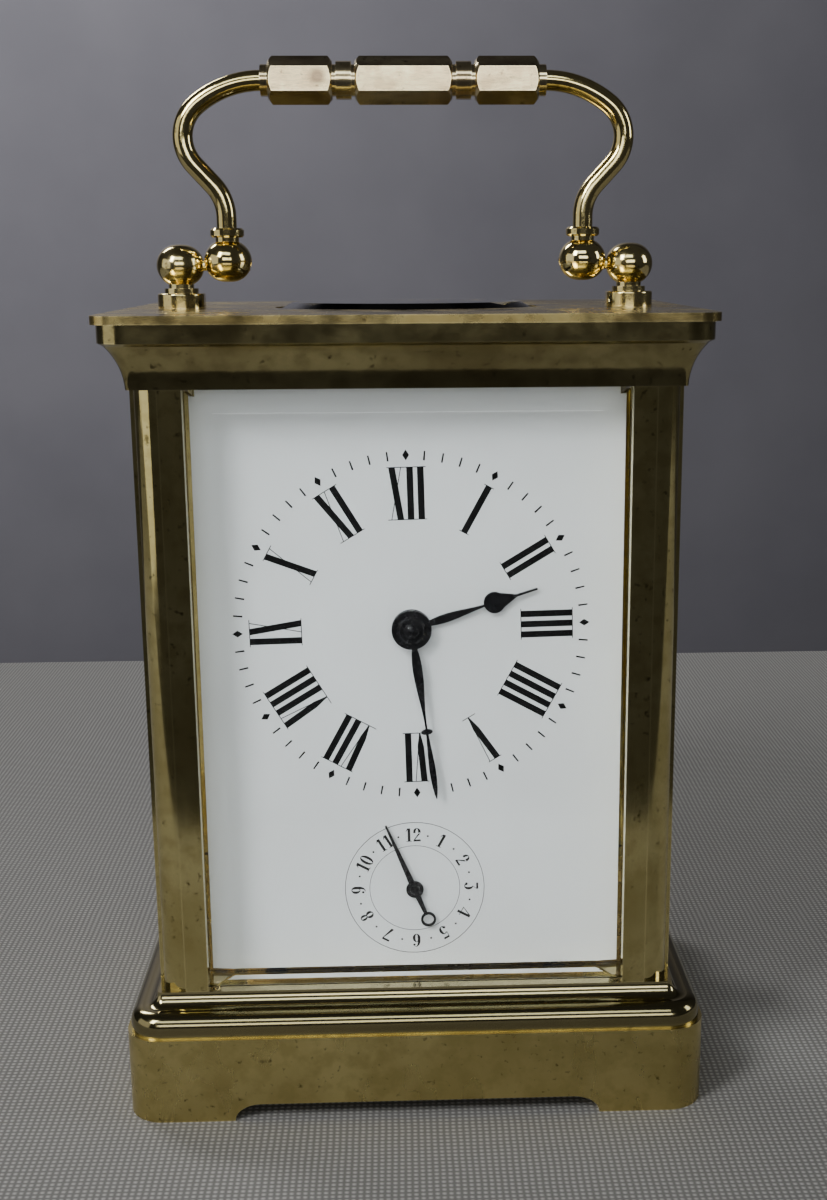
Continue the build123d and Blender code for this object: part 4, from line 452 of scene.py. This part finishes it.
def print_on_dial(pieces, name):
    """One print of all its marks: given its thickness, its black and its place on the case."""
    piece = together(pieces, name)
    begin()
    bpy.ops.mesh.select_all(action="SELECT")
    bpy.ops.mesh.remove_doubles(threshold=0.001 * mm)
    bpy.ops.mesh.normals_make_consistent(inside=False)
    end()
    for polygon in piece.data.polygons:
        if polygon.normal.y > 0:
            polygon.flip()
    thickness = piece.modifiers.new("thickness", "SOLIDIFY")
    thickness.thickness = print_thickness
    thickness.offset = 1
    bpy.ops.object.modifier_apply(modifier=thickness.name)
    piece.data.materials.clear()
    piece.data.materials.append(print_black)
    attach(piece, "case")
    return piece


# The hour figures: Roman, with four strokes for the four, their feet towards the middle. Thick
# strokes are almost a millimetre wide, thin ones a hairline, with a hairline across each end.
figure_foot, figure_head = 17.5, 25.9
thick, hair, pitch = 1.04, 0.13, 1.68


def roman(text):
    """Draws a Roman figure at the top of the dial and returns its strokes."""
    widths = {"I": pitch, "V": 2.35, "X": 2.75}
    x = -sum(widths[letter] for letter in text) / 2
    strokes = []
    for letter in text:
        x += widths[letter] / 2
        if letter == "I":
            strokes.append(stroke((x, figure_foot), (x, figure_head), thick, thick))
        if letter == "V":
            strokes.append(stroke((x + 0.10, figure_foot), (x, figure_foot + 2.4), 0.16, thick))
            strokes.append(stroke((x, figure_foot + 2.4), (x - 0.45, figure_head), thick, thick))
            strokes.append(stroke((x + 0.15, figure_foot), (x + 0.95, figure_head), hair, hair))
        if letter == "X":
            strokes.append(stroke((x + 0.62, figure_foot), (x - 0.62, figure_head), thick, thick))
            strokes.append(stroke((x - 0.85, figure_foot), (x + 0.85, figure_head), hair, hair))
        x += widths[letter] / 2
    half = sum(widths[letter] for letter in text) / 2 + 0.02
    middle = (figure_foot + figure_head) / 2
    for height in (figure_foot, figure_head):
        inner = height if height < middle else height - hair
        strokes.append(stroke((0, inner), (0, inner + hair), 2 * half, 2 * half))
    return strokes


figures = []
for hour, text in enumerate("I II III IIII V VI VII VIII IX X XI XII".split(), 1):
    figures.append(stand(together(roman(text), "figure"), dial_centre, 30 * hour - print_turn))
print_on_dial(figures, "hour_figures")

# The minute track: short dashes with a small diamond at every fifth minute.
marks = []
for minute in range(60):
    if minute % 5:
        mark = stroke((0, 26.95), (0, 28.45), 0.30, 0.25)
    else:
        mark = stroke((0, 26.9), (0, 27.74), 0.02, 1.10)
        mark = together([mark, stroke((0, 27.74), (0, 28.58), 1.10, 0.02)], "diamond")
    marks.append(stand(mark, dial_centre, 6 * minute - print_turn))
print_on_dial(marks, "minute_track")

# The alarm ring: two hairline circles with Arabic figures and small dots between them.
ring = [bowl((0, 0), 11.62, 11.62, 0.10, 0.10), bowl((0, 0), 7.54, 7.54, 0.08, 0.08)]
ring += [dot((9.4 * math.sin(math.radians(a)), 9.4 * math.cos(math.radians(a))), 0.17, 12)
         for a in range(15, 360, 30)]
print_on_dial([stand(together(ring, "ring"), alarm_centre, -print_turn)], "alarm_ring")


def arabic(digit, x):
    """Draws one figure of the alarm ring, 2.35 mm high, with its middle at x, 9.4 mm up."""
    def at(*point):
        return (x + point[0], 9.4 + point[1])
    wide, fine = 0.44, 0.11
    return {
        "0": lambda: [bowl(at(0, 0), 0.68, 1.17, wide, fine)],
        "1": lambda: [stroke(at(0, -1.17), at(0, 1.17), wide, wide),
                      stroke(at(-0.5, 0.62), at(-0.1, 1.17), fine, 0.32),
                      stroke(at(0, -1.17), at(0, -1.06), 0.9, 0.9)],
        "2": lambda: [bowl(at(0, 0.5), 0.62, 0.67, wide, fine, -40, 170), dot(at(-0.42, 0.48), 0.21),
                      stroke(at(-0.56, -1.0), at(0.38, 0.2), 0.14, 0.34),
                      stroke(at(0, -1.17), at(0, -0.84), 1.24, 1.1)],
        "3": lambda: [stroke(at(0.02, 0.84), at(0.02, 1.17), 1.1, 1.1),
                      stroke(at(0, 0.2), at(0.5, 0.86), fine, fine),
                      bowl(at(0, -0.42), 0.64, 0.75, wide, fine, -160, 95), dot(at(-0.42, -0.78), 0.21)],
        "4": lambda: [stroke(at(0.25, -1.17), at(0.25, 1.17), wide, wide),
                      stroke(at(-0.75, -0.55), at(0.15, 1.17), fine, 0.2),
                      stroke(at(0, -0.62), at(0, -0.5), 1.6, 1.6)],
        "5": lambda: [stroke(at(0.12, 0.82), at(0.12, 1.17), 1.0, 1.0),
                      stroke(at(-0.42, 0.1), at(-0.34, 1.0), fine, fine),
                      bowl(at(0, -0.42), 0.64, 0.75, wide, fine, -165, 140), dot(at(-0.42, -0.78), 0.21)],
        "6": lambda: [bowl(at(0, -0.42), 0.64, 0.75, wide, fine), dot(at(0.40, 0.78), 0.20),
                      bowl(at(0.12, 0), 0.76, 1.17, wide, fine, 75, 240)],
        "7": lambda: [stroke(at(0, 0.82), at(0, 1.17), 1.3, 1.3),
                      stroke(at(-0.22, -1.17), at(0.56, 0.9), 0.5, 0.14)],
        "8": lambda: [bowl(at(0, 0.58), 0.52, 0.60, 0.38, fine), bowl(at(0, -0.54), 0.64, 0.64, wide, fine)],
        "9": lambda: [bowl(at(0, 0.42), 0.64, 0.75, wide, fine), dot(at(-0.40, -0.78), 0.20),
                      bowl(at(-0.12, 0), 0.76, 1.17, wide, fine, 255, 60 + 360)],
    }[digit]()


figures = []
for hour in range(1, 13):
    text = str(hour)
    parts = []
    for place, digit in enumerate(text):
        parts += arabic(digit, 1.32 * (place - (len(text) - 1) / 2))
    figures.append(stand(together(parts, "figure"), alarm_centre, 30 * hour - print_turn))
print_on_dial(figures, "alarm_figures")

# The hands: sawn from thin steel, filed to a ridge, polished and blackened by heat. The collet that
# holds them is a small domed washer on the pin's end.
hand_black, tree, shader = new_material("blackened_steel")
edges = edge_wear(tree, 0.08 * mm)
tree.links.new(mix(tree, edges, ramp(tree, noise(tree, 700, 4), 0.35, 0.75, (0.012, 0.012, 0.014, 1),
                                     (0.035, 0.034, 0.036, 1)), (0.16, 0.16, 0.165, 1)),
               shader.inputs["Base Color"])
shader.inputs["Metallic"].default_value = 0.7
tree.links.new(ramp(tree, noise(tree, 900, 3), 0.3, 0.7, (0.18,) * 3 + (1,), (0.32,) * 3 + (1,)),
               shader.inputs["Roughness"])
bump(tree, shader, noise(tree, 2500, 3), 0.12, 0.00003)
dress(hand_black, "hour_hand", "minute_hand", "alarm_hand", "hand_collet", "alarm_arbor")

# The domed steel end of the centre pin, which stands out of the collet.
dome_radius, dome_cover = 1.25 * mm, 0.35 * mm
collet_low, collet_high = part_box("hand_collet")
pin_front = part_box("centre_wheel")[0].y
bpy.ops.mesh.primitive_uv_sphere_add(segments=40, ring_count=20, radius=1)
begin()
bpy.ops.mesh.select_all(action="SELECT")
bpy.ops.transform.resize(value=(dome_radius, collet_low.y - pin_front + dome_cover, dome_radius),
                         center_override=(0, 0, 0))
bpy.ops.transform.translate(value=((collet_low.x + collet_high.x) / 2, collet_low.y,
                                   (collet_low.z + collet_high.z) / 2))
pin_dome = end()
pin_dome.name = "pin_dome"
bpy.ops.object.shade_smooth()
pin_dome.data.materials.append(hand_black)
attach(pin_dome, "centre_arbor")


# The movement: two gilt brass plates, with the going train and the alarm between them, and the
# platform with its escapement on top. Wheels and barrels are brass, arbors and pinions polished
# steel, clicks and screws blued steel, and the bell is a pale bell bronze.
def steel(name, colour, smooth, dull, darker_tone):
    """Polished steel, with a little tarnish and fine turning marks."""
    material, tree, shader = new_material(name)
    stain = ramp(tree, noise(tree, 260, 5), 0.50, 0.72)
    tree.links.new(mix(tree, stain, colour, darker_tone), shader.inputs["Base Color"])
    shader.inputs["Metallic"].default_value = 1.0
    turning = noise(tree, 800, 4, (1, 0.15, 1))
    tree.links.new(ramp(tree, turning, 0.3, 0.7, (smooth,) * 3 + (1,), (dull,) * 3 + (1,)),
                   shader.inputs["Roughness"])
    bump(tree, shader, noise(tree, 2600, 2), 0.08, 0.00003)
    return material


gilt = brass("gilt_brass", (0.78, 0.60, 0.27, 1), (0.60, 0.43, 0.17, 1), 0.24, 0.40, patches=0.66, wear=0.15)
wheel_brass = brass("wheel_brass", (0.76, 0.60, 0.25, 1), (0.55, 0.40, 0.15, 1), 0.18, 0.32,
                    grain=(1, 0.3, 1), patches=0.66, wear=0.08)
bright_steel = steel("bright_steel", (0.60, 0.60, 0.61, 1), 0.14, 0.32, (0.34, 0.31, 0.28, 1))
blued_steel = steel("blued_steel", (0.035, 0.06, 0.20, 1), 0.14, 0.28, (0.05, 0.05, 0.10, 1))
bell_metal = brass("bell_bronze", (0.66, 0.60, 0.46, 1), (0.44, 0.36, 0.22, 1), 0.16, 0.30,
                   patches=0.6, wear=0.2)
dress(gilt, "front_plate", "back_plate", "platform", "escape_cock", "balance_cock", "movement_pillars")
dress(wheel_brass, "going_barrel", "barrel_cover", "centre_wheel", "third_wheel", "contrate_wheel",
      "minute_wheel", "hour_wheel", "alarm_idler", "alarm_wheel", "alarm_barrel", "balance_wheel",
      "escape_wheel", "alarm_scape_wheel")
dress(bright_steel, "winding_arbor", "cannon_pinion", "alarm_winding_arbor", "ratchet_wheel",
      "pallet_lever", "regulator_index", "mainspring", "hammer", "bell_post", "case_screws")
dress(blued_steel, "movement_screws", "click", "alarm_click", "click_springs", "hairspring")
dress(bell_metal, "bell")


# The jewels: small ruby cups in the cocks and the platform, in which the finest pivots turn.
ruby, tree, shader = new_material("ruby")
tree.links.new(ramp(tree, noise(tree, 1500, 2), 0.3, 0.8, (0.62, 0.015, 0.05, 1), (0.42, 0.008, 0.03, 1)),
               shader.inputs["Base Color"])
shader.inputs["Roughness"].default_value = 0.06
shader.inputs["Coat Weight"].default_value = 0.8
bump(tree, shader, noise(tree, 3000, 2), 0.03, 0.00002)


def jewel(name, x, y, z, radius):
    """A ruby cup: a disc with a rounded rim and an oil sink in its middle."""
    bpy.ops.mesh.primitive_circle_add(vertices=28, radius=radius * mm, fill_type="NGON",
                                      location=(x * mm, y * mm, z * mm))
    piece = bpy.context.object
    piece.name = name
    bpy.ops.object.transform_apply(location=True)
    begin()
    bpy.ops.mesh.select_all(action="SELECT")
    bpy.ops.mesh.extrude_region_move(TRANSFORM_OT_translate={"value": (0, 0, 0.14 * mm)})
    bpy.ops.mesh.inset(thickness=0.18 * radius * mm)
    bpy.ops.transform.translate(value=(0, 0, 0.06 * mm))
    bpy.ops.mesh.inset(thickness=0.35 * radius * mm)
    bpy.ops.mesh.inset(thickness=0.20 * radius * mm)
    bpy.ops.transform.translate(value=(0, 0, -0.09 * mm))
    bpy.ops.mesh.select_all(action="SELECT")
    bpy.ops.mesh.normals_make_consistent(inside=False)
    end()
    bpy.ops.object.shade_smooth_by_angle(angle=math.radians(35))
    piece.data.materials.append(ruby)
    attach(piece, "case")
    return piece


balance_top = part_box("balance_cock")[1].z / mm
escape_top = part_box("escape_cock")[1].z / mm
train_depth = -4.775
for name, x, top, radius in (
    ("balance_jewel", 2.3, balance_top, 0.80),
    ("lever_jewel", -3.3, escape_top, 0.55),
    ("escape_jewel", -8.0, escape_top, 0.55),
):
    jewel(name, x, train_depth, top, radius)
